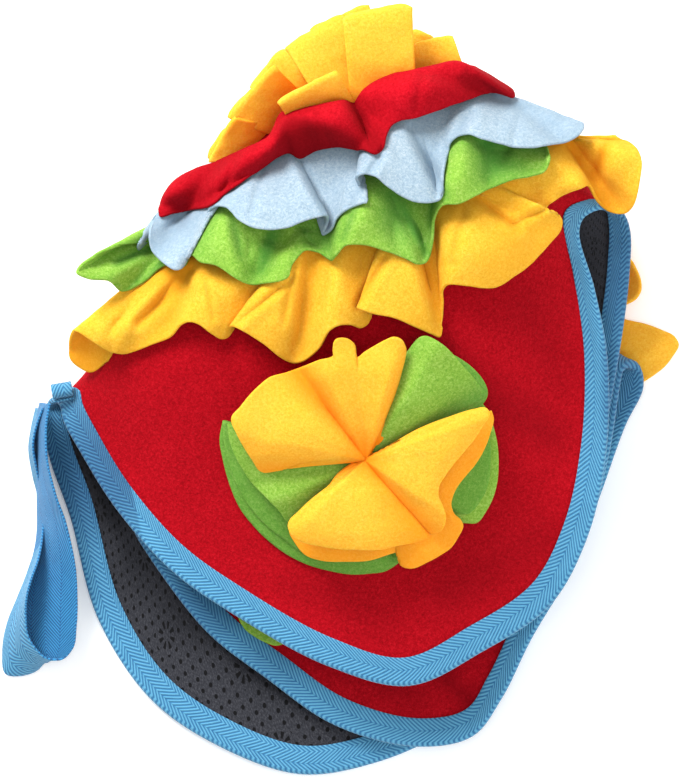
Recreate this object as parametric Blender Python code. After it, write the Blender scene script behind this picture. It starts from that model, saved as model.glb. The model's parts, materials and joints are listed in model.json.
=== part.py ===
# Snuffle mat, folded: a round fleece mat with a bound rim, laid down in four layers, with ruffle rings round its middle,
# loops at its centre, a flower on its front sector and a hanging loop at its left corner.
#
# Plan tables are drawn on a grid of GRID metres: x to the right, y down from the top edge of the drawing. Heights and
# lifts are in millimetres. The floor is z = 0.
import math

import bmesh
import bpy
import numpy as np

GRID = 0.46e-3          # metres for one step of the drawing grid
PLAN_CENTRE = (340.4, 392.0)
MM = 0.001

TOP_THICK = 1.6         # red fleece, mm
BACK_THICK = 1.1        # anti-slip backing, mm
SHEET_GAP = 0.3         # between any two pieces, mm
TAPE_THICK = 0.8
TAPE_COVER = 11.0       # how far the binding reaches in from the rim, mm
RUFFLE_THICK = 1.5
PETAL_THICK = 2.0
LOOP_THICK = 1.6
RHO_TUCK = 0.50         # inside this share of the radius the mat is one flattened dome, beyond it the layers part

RED_OUT = SHEET_GAP / 2 + TOP_THICK
BACK_OUT = SHEET_GAP / 2 + BACK_THICK

# Rings round the dome, from the crown outwards: left and right flank and front in plan, back in plan, flank height,
# and the half heights to the front and the back.
#        rho   lx   ly   rx   ry   fx   fy   bx   by   zc  front back
RINGS = [
    (0.000, 338, 92, 338, 92, 338, 92, 338, 92, 44, 0, 0),
    (0.060, 290, 116, 392, 78, 345, 104, 344, 102, 44, 16, 15),
    (0.120, 245, 146, 435, 80, 348, 118, 347, 114, 44, 25, 24),
    (0.180, 208, 182, 476, 92, 352, 140, 350, 134, 44, 30, 29),
    (0.250, 186, 218, 508, 108, 356, 170, 354, 162, 44, 33, 31),
    (0.320, 166, 252, 534, 124, 361, 203, 358, 194, 44, 34, 32),
    (0.400, 142, 290, 556, 142, 367, 243, 363, 235, 44, 34, 32),
    (0.500, 118, 328, 572, 162, 373, 292, 368, 285, 43, 32, 32),
]

# The rim, all the way round: sectors A (front), D and C (tucked), B (on the floor). phi is the dome angle of the spoke,
# lead says how far the spoke keeps the dome's own direction.
# face is +1 where the fleece looks up and -1 where it looks down.
#       name    x    y    z   phi  lead face
RIM = [
    ("A01", 64, 419, 22.0, 172, 0.8, 1),
    ("A02", 83, 454, 26.5, 166, 0.8, 1),
    ("A03", 118, 509, 31.5, 158, 0.8, 1),
    ("A04", 173, 570, 36.0, 147, 0.8, 1),
    ("A05", 236, 614, 38.5, 135, 0.8, 1),
    ("A06", 330, 665, 39.5, 117, 0.8, 1),
    ("A07", 409, 684, 39.5, 101, 0.8, 1),
    ("A08", 480, 651, 38.5, 86, 0.8, 1),
    ("A09", 549, 604, 37.5, 71, 0.8, 1),
    ("A10", 585, 539, 37.0, 59, 0.7, 1),
    ("A11", 604, 457, 38.0, 49, 0.6, 1),
    ("A12", 606, 361, 40.0, 41, 0.5, 1),
    ("A13", 593, 290, 43.0, 35, 0.4, 1),
    ("A14", 577, 232, 47.5, 31, 0.3, 1),
    ("F2a", 582, 217, 45.8, 28, 0.6, 1),
    ("F2b", 598, 207, 41.5, 24, 0.6, 1),
    ("F2c", 614, 209, 36.0, 19, 0.6, -1),
    ("F2d", 624, 217, 31.7, 13, 0.6, -1),
    ("D01", 629, 232, 30.0, 7.5, 0.6, -1),
    ("D02", 628, 275, 29.0, 7.5, 0.6, -1),
    ("D03", 620, 340, 28.5, 7.5, 0.25, -1),
    ("D04", 603, 430, 28.5, 7.5, 0.2, -1),
    ("D05", 574, 515, 28.5, 7.5, 0.2, -1),
    ("D06", 515, 585, 28.5, 7.5, 0.15, -1),
    ("D07", 430, 626, 28.5, 7.5, 0.15, -1),
    ("D08", 335, 616, 28.5, 7.5, 0.15, -1),
    ("D09", 240, 577, 28.5, 7.5, 0.15, -1),
    ("F4a", 157, 539, 28.5, 7.5, 0.15, -1),
    ("F4b", 143, 532, 26.1, 4.5, 0.15, -1),
    ("F4", 137, 531, 20.4, 0, 0.15, 0),
    ("F4c", 138, 537, 14.8, -4.5, 0.15, 1),
    ("C01", 145, 549, 12.4, -8.5, 0.15, 1),
    ("C02", 207, 631, 12.0, -8.5, 0.15, 1),
    ("C03", 267, 678, 12.0, -8.5, 0.15, 1),
    ("C04", 334, 724, 12.0, -8.5, 0.15, 1),
    ("C05", 415, 746, 12.0, -8.5, 0.15, 1),
    ("C06", 472, 736, 12.0, -8.5, 0.15, 1),
    ("C07", 500, 700, 12.0, -8.5, 0.2, 1),
    ("C08", 530, 640, 12.6, -8.5, 0.2, 1),
    ("C09", 580, 552, 14.2, -8.5, 0.25, 1),
    ("C10", 608, 455, 16.6, -8.5, 0.3, 1),
    ("C11", 619, 386, 18.4, -8.5, 0.3, 1),
    ("F3a", 623, 369, 16.9, -13, 0.3, 1),
    ("F3b", 631, 364, 13.2, -18, 0.3, 0),
    ("F3c", 640, 369, 9.5, -23, 0.3, -1),
    ("B01", 643, 386, 8.0, -29, 0.3, -1),
    ("B02", 625, 425, 6.6, -35, 0.4, -1),
    ("B03", 588, 525, 4.6, -43, 0.5, -1),
    ("B04", 544, 612, 3.4, -53, 0.6, -1),
    ("B05", 500, 684, 3.2, -65, 0.7, -1),
    ("B06", 440, 734, 3.2, -78, 0.7, -1),
    ("B07", 370, 764, 3.2, -92, 0.7, -1),
    ("B08", 300, 774, 3.2, -105, 0.7, -1),
    ("B09", 217, 745, 3.2, -118, 0.7, -1),
    ("B10", 152, 700, 3.2, -130, 0.7, -1),
    ("B11", 99, 620, 3.2, -142, 0.7, -1),
    ("B12", 70, 515, 3.2, -154, 0.7, -1),
    ("B13", 49, 455, 3.6, -165, 0.7, -1),
    ("B14", 43, 420, 5.2, -173, 0.7, -1),
    ("F1a", 46, 410, 6.8, -176, 0.7, -1),
    ("F1b", 50, 403, 11.0, -179, 0.7, -1),
    ("F1c", 57, 401, 16.2, -182, 0.7, 1),
    ("F1d", 62, 408, 20.4, -185, 0.7, 1),
]

# Where the rim turns over a fold: the way the cut edge points there (x right, y up, z up).
RIM_OUT = {
    "F2a": (1.0, 0.0, 0.0), "F2b": (1.0, 0.0, 0.0), "F2c": (1.0, 0.0, 0.0), "F2d": (1.0, 0.0, 0.0),
    "F4a": (-0.45, -0.89, 0.0), "F4b": (-0.68, -0.72, 0.0), "F4": (-0.68, -0.72, 0.0), "F4c": (-0.68, -0.72, 0.0),
    "F3a": (1.0, 0.0, 0.0), "F3b": (1.0, 0.0, 0.0), "F3c": (1.0, 0.0, 0.0),
    "F1a": (-0.96, -0.29, 0.0), "F1b": (-0.96, -0.29, 0.0), "F1c": (-0.96, -0.29, 0.0), "F1d": (-0.96, -0.29, 0.0),
}

# Where the cloth is squeezed thinner: at the rim's tightest turns, and where the tucked layers leave the dome.
PINCH = {
    "A14": 0.85, "F2a": 0.6, "F2b": 0.4, "F2c": 0.4, "F2d": 0.6, "D01": 0.85,
    "B14": 0.8, "F1a": 0.45, "F1b": 0.55, "F1c": 0.7,
    "F4a": 0.8, "F4b": 0.8, "F4": 0.8, "F3a": 0.8, "F3b": 0.7, "F3c": 0.8,
}
HUB_PINCH = 0.2

# Ruffle hems over the front, from the left flank to the right one, a row for each crest and each valley. The lift is
# how far the hem stands off the mat.
#              x    y  lift
HEMS = {
    "yellow": (0.36, [
        (74, 352, 15), (97, 371, 10), (128, 352, 6), (160, 340, 8), (191, 322, 11), (222, 338, 6), (236, 327, 13),
        (263, 342, 10), (296, 361, 6), (318, 348, 10), (337, 325, 12), (366, 325, 8), (393, 317, 14), (436, 335, 7),
        (445, 290, 12), (480, 285, 8), (515, 272, 11), (556, 222, 14), (552, 202, 8), (590, 182, 10), (622, 172, 18),
        (634, 150, 20)]),
    "green": (0.30, [
        (80, 275, 22), (112, 281, 18), (156, 262, 12), (193, 254, 15), (213, 263, 14), (243, 283, 11), (273, 282, 13),
        (297, 257, 14), (319, 254, 11), (334, 260, 10), (345, 246, 14), (380, 251, 12), (418, 265, 12),
        (431, 235, 11), (445, 204, 14), (473, 197, 12), (509, 180, 12), (540, 168, 13), (551, 146, 8)]),
    "light_blue": (0.235, [
        (154, 240, 20), (181, 268, 15), (195, 237, 13), (214, 209, 14), (238, 218, 17), (273, 230, 15),
        (302, 223, 17), (327, 216, 18), (326, 232, 13), (345, 209, 15), (362, 190, 14), (389, 191, 22),
        (420, 203, 18), (441, 194, 15), (447, 160, 12), (465, 137, 16), (509, 147, 16), (548, 147, 18),
        (578, 126, 22)]),
    "red": (0.165, [
        (162, 213, 24), (189, 210, 20), (223, 196, 18), (263, 168, 20), (289, 154, 23), (315, 151, 21),
        (350, 150, 19), (376, 154, 18), (390, 130, 21), (414, 119, 23), (439, 111, 22), (465, 101, 22),
        (492, 92, 22), (515, 99, 22)]),
}

# Folded loops of strip fleece at the crown: sewn foot on the dome (angle and rho), top edge in plan, height of the
# middle, width and the depth of the fold.
#      name   phi   rho   left x,y    right x,y    z  depth
LOOPS = [
    ("01", 66, 0.085, (346, 18), (411, 7), 68, 8),
    ("02", 118, 0.060, (292, 46), (342, 16), 50, 7),
    ("03", 300, 0.030, (311, 30), (366, 3), 41.5, 7),
    ("04", 262, 0.060, (266, 46), (300, 38), 31, 6),
    ("05", 190, 0.060, (252, 86), (281, 54), 43, 7),
    ("06", 133, 0.100, (229, 116), (276, 70), 67, 7),
    ("07", 96, 0.120, (281, 104), (334, 74), 80, 7),
    ("08", 152, 0.110, (214, 152), (236, 118), 52, 6),
    ("09", 200, 0.110, (206, 148), (222, 126), 40, 6),
    ("10", 36, 0.090, (414, 48), (452, 36), 52, 6),
    ("11", 335, 0.070, (398, 34), (431, 38), 38, 7),
    ("12", 285, 0.090, (318, 44), (372, 32), 20, 6),
]

# Flower petals: each is a folded circle fanned out from the flower's middle. Rows run round the middle.
FLOWER_MID = (366, 459)
#   name, base height, then rows of angle (deg, anticlockwise from +x), radius on the grid, height above the base
PETALS = [
    ("green_under", 3.0, [(150, 128, 4), (176, 140, 3), (205, 140, 3), (235, 112, 2), (262, 112, 2), (290, 118, 3)]),
    ("green_left", 8.5, [(170, 118, 9), (186, 126, 5), (200, 108, 5), (218, 104, 4)]),
    ("yellow_bottom", 13.0, [(196, 30, 10), (214, 76, 13), (228, 100, 9), (246, 108, 8), (268, 98, 7), (288, 100, 8),
                             (306, 106, 6)]),
    ("green_right", 6.0, [(318, 106, 3), (336, 124, 3), (352, 132, 4), (8, 126, 4), (18, 118, 5)]),
    ("yellow_right", 12.5, [(296, 96, 8), (312, 122, 10), (330, 100, 9), (345, 108, 9), (0, 124, 7), (18, 124, 6),
                            (30, 116, 5)]),
    ("green_top", 9.0, [(32, 128, 5), (44, 140, 8), (58, 138, 9), (64, 134, 7), (72, 128, 5)]),
    ("yellow_top", 14.5, [(74, 122, 7), (88, 112, 11), (104, 116, 9), (124, 110, 12), (138, 124, 8), (150, 138, 7),
                          (164, 136, 9), (178, 128, 6), (188, 106, 5)]),
]

# Petals of two more flowers that show only at their ends: one lies on sector C under sector D, one on the floor under
# the fold at the right.
#   name, middle, lies on, rows of angle (deg, anticlockwise from +x), radius on the grid, height above what it lies on
LOW_PETALS = [
    ("green_low", (300, 562), "C", [(212, 62, 1.5), (226, 82, 2.0), (238, 86, 3.5), (250, 87, 2.0), (262, 78, 2.5)]),
    ("yellow_low", (618, 352), "floor", [(-62, 38, 0), (-38, 52, 0), (-14, 58, 0), (10, 63, 0), (34, 45, 0),
                                         (62, 34, 0)]),
]

# Tape of the hanging loop: the edge nearer the top and the edge nearer the floor, from the corner down, round the
# bottom and back up.
#        near x,y,z          far x,y,z
STRAP = [
    ((44, 401, 27.0), (36, 401, 5.0)),
    ((41, 425, 27.0), (31, 428, 4.0)),
    ((46, 455, 26.0), (33, 462, 3.0)),
    ((55, 494, 24.5), (37, 505, 2.0)),
    ((67, 528, 22.0), (40, 548, 1.2)),
    ((75, 575, 19.0), (42, 600, 0.9)),
    ((76, 620, 16.0), (40, 645, 0.8)),
    ((70, 650, 14.5), (34, 668, 0.8)),
    ((55, 664, 14.0), (18, 678, 0.8)),
    ((38, 654, 15.0), (5, 670, 0.9)),
    ((26, 630, 17.0), (2, 645, 1.2)),
    ((25, 600, 20.0), (11, 610, 2.0)),
    ((30, 560, 23.0), (21, 562, 3.0)),
    ((31, 510, 25.5), (22, 511, 4.0)),
    ((31, 455, 26.5), (22, 455, 4.0)),
    ((36, 412, 26.5), (29, 412, 4.5)),
]
TAPE_ROLL = dict(x=60, y=390, radius=3.8, length=8.0, turn_deg=-80.0, z=28.6)

COLOURS = {
    "mat_top": (0.52, 0.006, 0.018), "mat_backing": (0.055, 0.055, 0.065), "edge_binding": (0.09, 0.38, 0.72),
    "red": (0.55, 0.008, 0.02), "light_blue": (0.52, 0.68, 0.85), "green": (0.22, 0.58, 0.07),
    "yellow": (0.95, 0.60, 0.04), "tape": (0.09, 0.38, 0.72),
}

E1 = np.array([0.943, -0.334])     # along the ridge of the dome, in plan
AXIS = np.array([0.334, 0.943])    # down the dome, in plan


def hermite(knots, values, t, period=None):
    """Smooth curve through rows of values at the knots (non-uniform Catmull-Rom)."""
    k = np.asarray(knots, float)
    v = np.asarray(values, float)
    if v.ndim == 1:
        v = v[:, None]
    t = np.atleast_1d(np.asarray(t, float))
    if period is not None:
        t = (t - k[0]) % period + k[0]
        k = np.concatenate([[k[-1] - period], k, [k[0] + period, k[1] + period]])
        v = np.vstack([v[-1:], v, v[:1], v[1:2]])
        lo = 1
    else:
        k = np.concatenate([[2 * k[0] - k[1]], k, [2 * k[-1] - k[-2]]])
        v = np.vstack([2 * v[:1] - v[1:2], v, 2 * v[-1:] - v[-2:-1]])
        lo = 1
    h = np.diff(k)
    d = np.diff(v, axis=0) / h[:, None]
    m = np.zeros_like(v)
    m[1:-1] = (d[:-1] * h[1:, None] + d[1:] * h[:-1, None]) / (h[1:] + h[:-1])[:, None]
    i = np.clip(np.searchsorted(k, t, side="right") - 1, lo, len(k) - 3)
    s = ((t - k[i]) / h[i])[:, None]
    hh = h[i][:, None]
    return ((2 * s**3 - 3 * s**2 + 1) * v[i] + (s**3 - 2 * s**2 + s) * hh * m[i]
            + (3 * s**2 - 2 * s**3) * v[i + 1] + (s**3 - s**2) * hh * m[i + 1])


def smooth_step(x, a, b):
    """0 at a, 1 at b."""
    s = np.clip((np.asarray(x, float) - a) / (b - a), 0, 1)
    return s * s * (3 - 2 * s)


def plan(x, y):
    """Plan grid to millimetres."""
    g = GRID / MM
    return (np.asarray(x, float) - PLAN_CENTRE[0]) * g, (PLAN_CENTRE[1] - np.asarray(y, float)) * g


# ---- the folded mat as a surface of spoke t (0..1 round the rim) and radius share rho (0..1) ----
RING_T = np.array(RINGS, float)
RIM_XYZ = np.array([r[1:4] for r in RIM], float)
RIM_PHI = np.array([r[4] for r in RIM], float)
RIM_LEAD = np.array([r[5] for r in RIM], float)
RIM_FACE = np.array([r[6] for r in RIM], float)


def rim_knots():
    p = RIM_XYZ.copy()
    p[:, 2] *= MM / GRID
    step = np.linalg.norm(np.roll(p, -1, axis=0) - p, axis=1) ** 0.6
    return np.concatenate([[0.0], np.cumsum(step)])


KNOTS = rim_knots()
PERIOD = KNOTS[-1]
KNOTS = KNOTS[:-1]
PHI_UNWRAPPED = RIM_PHI.copy()


def out_rows():
    """The way the cut edge points at every rim row: square to the rim, or along the fold where the rim turns over one."""
    e = PERIOD * 2e-3
    along = hermite(KNOTS, RIM_XYZ, KNOTS + e, PERIOD) - hermite(KNOTS, RIM_XYZ, KNOTS - e, PERIOD)
    along = along * [GRID / MM, -GRID / MM, 1.0]
    along /= np.linalg.norm(along, axis=1, keepdims=True)
    face = np.sign(RIM_FACE)
    out = np.cross(along, np.stack([0 * face, 0 * face, face], axis=1))
    for i, row in enumerate(RIM):
        if row[0] in RIM_OUT:
            out[i] = RIM_OUT[row[0]]
    return out / np.linalg.norm(out, axis=1, keepdims=True)


OUT_ROWS = out_rows()


def phi_of(t):
    """Dome angle of the spoke at rim parameter t, falling all the way from 175 to -185."""
    k = np.concatenate([KNOTS, [PERIOD]])
    v = np.concatenate([PHI_UNWRAPPED, [PHI_UNWRAPPED[0] - 360.0]])
    return np.interp(np.asarray(t) % PERIOD, k, v)


def t_of(phi):
    k = np.concatenate([KNOTS, [PERIOD]])
    v = np.concatenate([PHI_UNWRAPPED, [PHI_UNWRAPPED[0] - 360.0]])
    phi = (np.asarray(phi, float) - v[-1]) % 360.0 + v[-1]
    return np.interp(phi, v[::-1], k[::-1])


def ring_point(phi_deg, rho):
    """Point on the dome, millimetres."""
    phi, rho = np.broadcast_arrays(np.radians(phi_deg), np.asarray(rho, float))
    # rho enters by its square root so the crown closes roundly
    row = hermite(RING_T[:, 0] ** 0.8, RING_T[:, 1:], np.clip(rho, 0, None).ravel() ** 0.8).reshape(rho.shape + (11,))
    lx, ly, rx, ry, fx, fy, bx, by, zc, hf, hb = np.moveaxis(row, -1, 0)
    c, s = np.cos(phi), np.sin(phi)
    mx, my = (lx + rx) / 2, (ly + ry) / 2
    sag = np.abs(s) ** 1.7
    front = s > 0
    ox = np.where(front, fx, bx) - mx
    oy = np.where(front, fy, by) - my
    px = mx + c * (rx - lx) / 2 + sag * ox
    py = my + c * (ry - ly) / 2 + sag * oy
    h = np.where(front, hf, hb)
    z = zc + np.sign(s) * np.abs(s) ** 0.9 * h
    x, y = plan(px, py)
    return np.stack([x, y, z], axis=-1)


def mat_point(t, rho):
    """Point on the folded mat between fleece and backing, millimetres."""
    t, rho = np.broadcast_arrays(np.asarray(t, float), np.asarray(rho, float))
    shape = t.shape
    t, rho = t.ravel(), rho.ravel()
    phi = phi_of(t)
    inner = ring_point(phi, np.minimum(rho, RHO_TUCK))
    p1 = ring_point(phi, np.full_like(phi, RHO_TUCK))
    e = 0.02
    slope = (p1 - ring_point(phi, np.full_like(phi, RHO_TUCK - e))) / e
    rim = hermite(KNOTS, RIM_XYZ, t, PERIOD)
    x, y = plan(rim[:, 0], rim[:, 1])
    rim = np.stack([x, y, rim[:, 2]], axis=1)
    lead = hermite(KNOTS, RIM_LEAD, t, PERIOD)
    chord = rim - p1
    length = np.linalg.norm(chord, axis=1, keepdims=True)
    d1 = slope / np.linalg.norm(slope, axis=1, keepdims=True) * length * lead
    # every spoke meets the rim squarely, so the binding keeps its width
    arrive = hermite(KNOTS, OUT_ROWS, t, PERIOD)
    arrive = arrive / np.linalg.norm(arrive, axis=1, keepdims=True) * np.minimum(length * 0.7, 90.0)
    u = np.clip((rho - RHO_TUCK) / (1 - RHO_TUCK), 0, 1)[:, None]
    outer = ((2 * u**3 - 3 * u**2 + 1) * p1 + (u**3 - 2 * u**2 + u) * d1
             + (3 * u**2 - 2 * u**3) * rim + (u**3 - u**2) * arrive)
    # in the tuck the layers part at once
    tuck = (smooth_step(phi, 22.0, 7.0) * smooth_step(phi, -45.0, -24.0))[:, None]
    quick = p1[:, 2:] + (rim[:, 2:] - p1[:, 2:]) * (1 - (1 - u) ** 1.8)
    outer[:, 2:] = outer[:, 2:] * (1 - tuck) + quick * tuck
    out = np.where((rho > RHO_TUCK)[:, None], outer, inner)
    # sector B lies flat on the floor between the dome and its bound rim
    low = smooth_step(phi, -38.0, -54.0) * smooth_step(phi, -177.0, -171.0)
    sink = 7.0 * low * np.clip((0.90 - rho) / 0.06, 0, 1) * np.clip((rho - RHO_TUCK) / 0.2, 0, 1)
    out[:, 2] = np.maximum(out[:, 2] - sink, RED_OUT)
    return out.reshape(shape + (3,))


def mat_normal(t, rho):
    """Outward (fleece side) unit normal."""
    dt, dr = PERIOD * 1e-4, 1e-3
    rho = np.asarray(rho, float)
    a = mat_point(t + dt, rho) - mat_point(t - dt, rho)
    r0, r1 = np.clip(rho - dr, 0.004, 1), np.clip(rho + dr, 0.004, 1)
    b = mat_point(t, r1) - mat_point(t, r0)
    n = np.cross(b, a)
    return n / np.maximum(np.linalg.norm(n, axis=-1, keepdims=True), 1e-9)


# ---- mesh helpers ----
def new_object(name, verts_mm, faces, colour, rough=0.9):
    me = bpy.data.meshes.new(name)
    me.from_pydata([tuple(float(c) * MM for c in v) for v in verts_mm], [], [tuple(int(i) for i in f) for f in faces])
    me.update()
    bm = bmesh.new()
    bm.from_mesh(me)
    bmesh.ops.recalc_face_normals(bm, faces=bm.faces)
    if bm.calc_volume(signed=True) < 0:
        bmesh.ops.reverse_faces(bm, faces=bm.faces)
    bm.to_mesh(me)
    bm.free()
    me.shade_smooth()
    ob = bpy.data.objects.new(name, me)
    PARTS.objects.link(ob)
    mat = bpy.data.materials.get(colour) or bpy.data.materials.new(colour)
    mat.use_nodes = True
    b = mat.node_tree.nodes["Principled BSDF"]
    b.inputs["Base Color"].default_value = (*COLOURS[colour], 1)
    b.inputs["Roughness"].default_value = rough
    b.inputs["Metallic"].default_value = 0.0
    me.materials.append(mat)
    return ob


def grid_solid(front, back, wrap=False):
    """Closed solid between two grids of points (rows, columns, 3), triangles with one and the same diagonal."""
    rows, cols = front.shape[:2]
    verts = np.concatenate([front.reshape(-1, 3), back.reshape(-1, 3)])
    o = rows * cols
    faces = []
    last = cols if wrap else cols - 1
    for i in range(rows - 1):
        for j in range(last):
            k = (j + 1) % cols
            a, b, c, d = i * cols + j, i * cols + k, (i + 1) * cols + k, (i + 1) * cols + j
            faces += [(a, b, c), (a, c, d), (o + a, o + c, o + b), (o + a, o + d, o + c)]
    for j in range(last):
        k = (j + 1) % cols
        faces += [(j, o + k, k), (j, o + j, o + k)]
        a, b = (rows - 1) * cols + j, (rows - 1) * cols + k
        faces += [(a, b, o + b), (a, o + b, o + a)]
    if not wrap:
        for i in range(rows - 1):
            a, b = i * cols, (i + 1) * cols
            faces += [(a, b, o + b), (a, o + b, o + a)]
            a, b = a + cols - 1, b + cols - 1
            faces += [(a, o + b, b), (a, o + a, o + b)]
    return verts, faces


def grid_normals(p, wrap):
    du = np.empty_like(p)
    if wrap:
        du = np.roll(p, -1, axis=1) - np.roll(p, 1, axis=1)
    else:
        du[:, 1:-1] = p[:, 2:] - p[:, :-2]
        du[:, 0] = p[:, 1] - p[:, 0]
        du[:, -1] = p[:, -1] - p[:, -2]
    dv = np.empty_like(p)
    dv[1:-1] = p[2:] - p[:-2]
    dv[0] = p[1] - p[0]
    dv[-1] = p[-1] - p[-2]
    n = np.cross(dv, du)
    return n / np.maximum(np.linalg.norm(n, axis=-1, keepdims=True), 1e-9)


def sheet_between(p, n, lo, hi, wrap=False):
    return grid_solid(p + n * hi, p + n * lo, wrap)


# ---- mat and binding ----
def mat_columns():
    """Spokes at every rim row, and one more between rows that are far apart."""
    ts = []
    k = np.concatenate([KNOTS, [PERIOD]])
    for i in range(len(KNOTS)):
        n = 2 if RIM[i][0][0] in "AB" and k[i + 1] - k[i] > 14.5 else 1
        ts += [k[i] + (k[i + 1] - k[i]) * j / n for j in range(n)]
    return np.array(ts)


def ring_normal(phi, rho):
    dp, dr = 0.5, 2e-3
    a = ring_point(phi - dp, rho) - ring_point(phi + dp, rho)
    b = ring_point(phi, rho) - ring_point(phi, np.asarray(rho) - dr)
    n = np.cross(b, a)
    return n / np.linalg.norm(n, axis=-1, keepdims=True)


def mat_shell(ts, rhos, shares):
    """The mat between fleece and backing: crown point, dome rings at the hubs (spokes of one angle share a hub), then
    rows at shares of the way to the binding, the binding's inner edge and the cut edge. Returns points, normals,
    triangles, the last two rows as indices and the way out at the rim."""
    phi = phi_of(ts)
    hub = np.concatenate([[0], np.cumsum(np.abs(np.diff(phi)) > 0.05)])
    hubs = phi[np.concatenate([[True], np.diff(hub) > 0])]
    ends = mat_point(ts, np.full_like(ts, 1.0))
    out = ends - mat_point(ts, np.full_like(ts, 0.995))
    out /= np.linalg.norm(out, axis=1, keepdims=True)
    walk = np.linspace(1.0, RHO_TUCK + 0.02, 97)
    line = np.array([mat_point(ts, np.full_like(ts, w)) for w in walk])
    far = np.concatenate([np.zeros((1, len(ts))), np.cumsum(np.linalg.norm(np.diff(line, axis=0), axis=2), axis=0)])
    cut = np.array([np.interp(TAPE_THICK + 0.5, far[:, j], walk) for j in range(len(ts))])
    thin = np.interp(ts, KNOTS, [PINCH.get(r[0], 1.0) for r in RIM])
    width = TAPE_COVER * (0.3 + 0.7 * thin) + TAPE_THICK + 0.5
    cover = np.array([np.interp(width[j], far[:, j], walk) for j in range(len(ts))])
    inner = np.array([ring_point(hubs, np.full_like(hubs, r)) for r in rhos])
    inner_n = np.array([ring_normal(hubs, np.full_like(hubs, r)) for r in rhos])
    outer = np.array([mat_point(ts, RHO_TUCK + (cover - RHO_TUCK) * f) for f in shares]
                     + [mat_point(ts, cover), mat_point(ts, cut)])
    along = np.roll(outer[-1], -1, axis=0) - np.roll(outer[-1], 1, axis=0)
    along /= np.linalg.norm(along, axis=1, keepdims=True)
    outer_n = grid_normals(np.concatenate([inner[-1:, hub], outer]), True)[1:]
    outer_n[outer[..., 2] <= RED_OUT + 1e-6] = (0, 0, -1)
    tip = ring_point(0.0, 0.0).reshape(1, 3)
    tip_n = np.array([[-AXIS[0], AXIS[1], 0.0]])
    h, c = len(hubs), len(ts)
    p = np.concatenate([tip, inner.reshape(-1, 3), outer.reshape(-1, 3)])
    n = np.concatenate([tip_n, inner_n.reshape(-1, 3), outer_n.reshape(-1, 3)])
    tris = [(0, 1 + (j + 1) % h, 1 + j) for j in range(h)]
    for i in range(len(rhos) - 1):
        for j in range(h):
            a, b = 1 + i * h + j, 1 + i * h + (j + 1) % h
            tris += [(a, b, b + h), (a, b + h, a + h)]
    o, last = 1 + len(rhos) * h, 1 + (len(rhos) - 1) * h
    for j in range(c):
        k = (j + 1) % c
        a, b = last + hub[j], last + hub[k]
        if a != b:
            tris.append((a, b, o + k))
        tris.append((a, o + k, o + j))
    for i in range(len(outer) - 1):
        for j in range(c):
            a, b = o + i * c + j, o + i * c + (j + 1) % c
            tris += [(a, b, b + c), (a, b + c, a + c)]
    rim = [o + (len(outer) - 2) * c + np.arange(c), o + (len(outer) - 1) * c + np.arange(c)]
    n = vertex_normals(p, np.array(tris), n)
    n[1 + len(rhos) * h:][(outer[..., 2] <= RED_OUT + 1e-6).ravel()] = (0, 0, -1)
    side = np.cross(along, n[rim[1]])
    side *= np.sign((side * out).sum(axis=1, keepdims=True))
    out = side / np.linalg.norm(side, axis=1, keepdims=True)
    n[1 + len(rhos) * h:] *= np.tile(thin, len(outer))[:, None]
    n[last:last + h][np.abs((hubs + 180) % 360 - 180) < 16] *= HUB_PINCH
    return p, n, tris, rim, out, thin


def vertex_normals(p, tris, like):
    """Normals at the points from the triangles round them, weighted by corner angle, a little longer at sharp places so
    an offset keeps its distance from every triangle."""
    a, b, c = p[tris[:, 0]], p[tris[:, 1]], p[tris[:, 2]]
    f = np.cross(b - a, c - a)
    f /= np.maximum(np.linalg.norm(f, axis=1, keepdims=True), 1e-9)
    f *= np.sign((f * like[tris[:, 0]]).sum())
    n = np.zeros_like(p)
    for i, (x, y, z) in enumerate(((a, b, c), (b, c, a), (c, a, b))):
        u, v = y - x, z - x
        cos = (u * v).sum(axis=1) / np.maximum(np.linalg.norm(u, axis=1) * np.linalg.norm(v, axis=1), 1e-9)
        np.add.at(n, tris[:, i], f * np.arccos(np.clip(cos, -1, 1))[:, None])
    n /= np.maximum(np.linalg.norm(n, axis=1, keepdims=True), 1e-9)
    least = np.ones(len(p))
    for i in range(3):
        np.minimum.at(least, tris[:, i], (n[tris[:, i]] * f).sum(axis=1))
    # at sharp places lean toward the triangle seen most edge-on, until all are seen alike
    for v in np.nonzero(least < 0.85)[0]:
        near = f[(tris == v).any(axis=1)]
        for step in range(120):
            d = near @ n[v]
            n[v] += near[np.argmin(d)] * (0.10 if step < 40 else 0.02)
            n[v] /= np.linalg.norm(n[v])
        least[v] = (near @ n[v]).min()
    return n / np.clip(least, 0.80, 1.0)[:, None]


def shell_solid(p, n, tris, rim, hi, lo):
    """Closed solid between two offsets of the shell."""
    m = len(p)
    faces = list(tris) + [(m + a, m + c, m + b) for a, b, c in tris]
    for a, b in zip(rim, np.roll(rim, -1)):
        faces += [(a, b, m + b), (a, m + b, m + a)]
    return np.concatenate([p + n * hi, p + n * lo]), faces


# ---- lifts of what lies on the dome, as a map over (phi, rho) ----
PHI_N, RHO_N, RHO_TOP = 361, 161, 0.80


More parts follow.
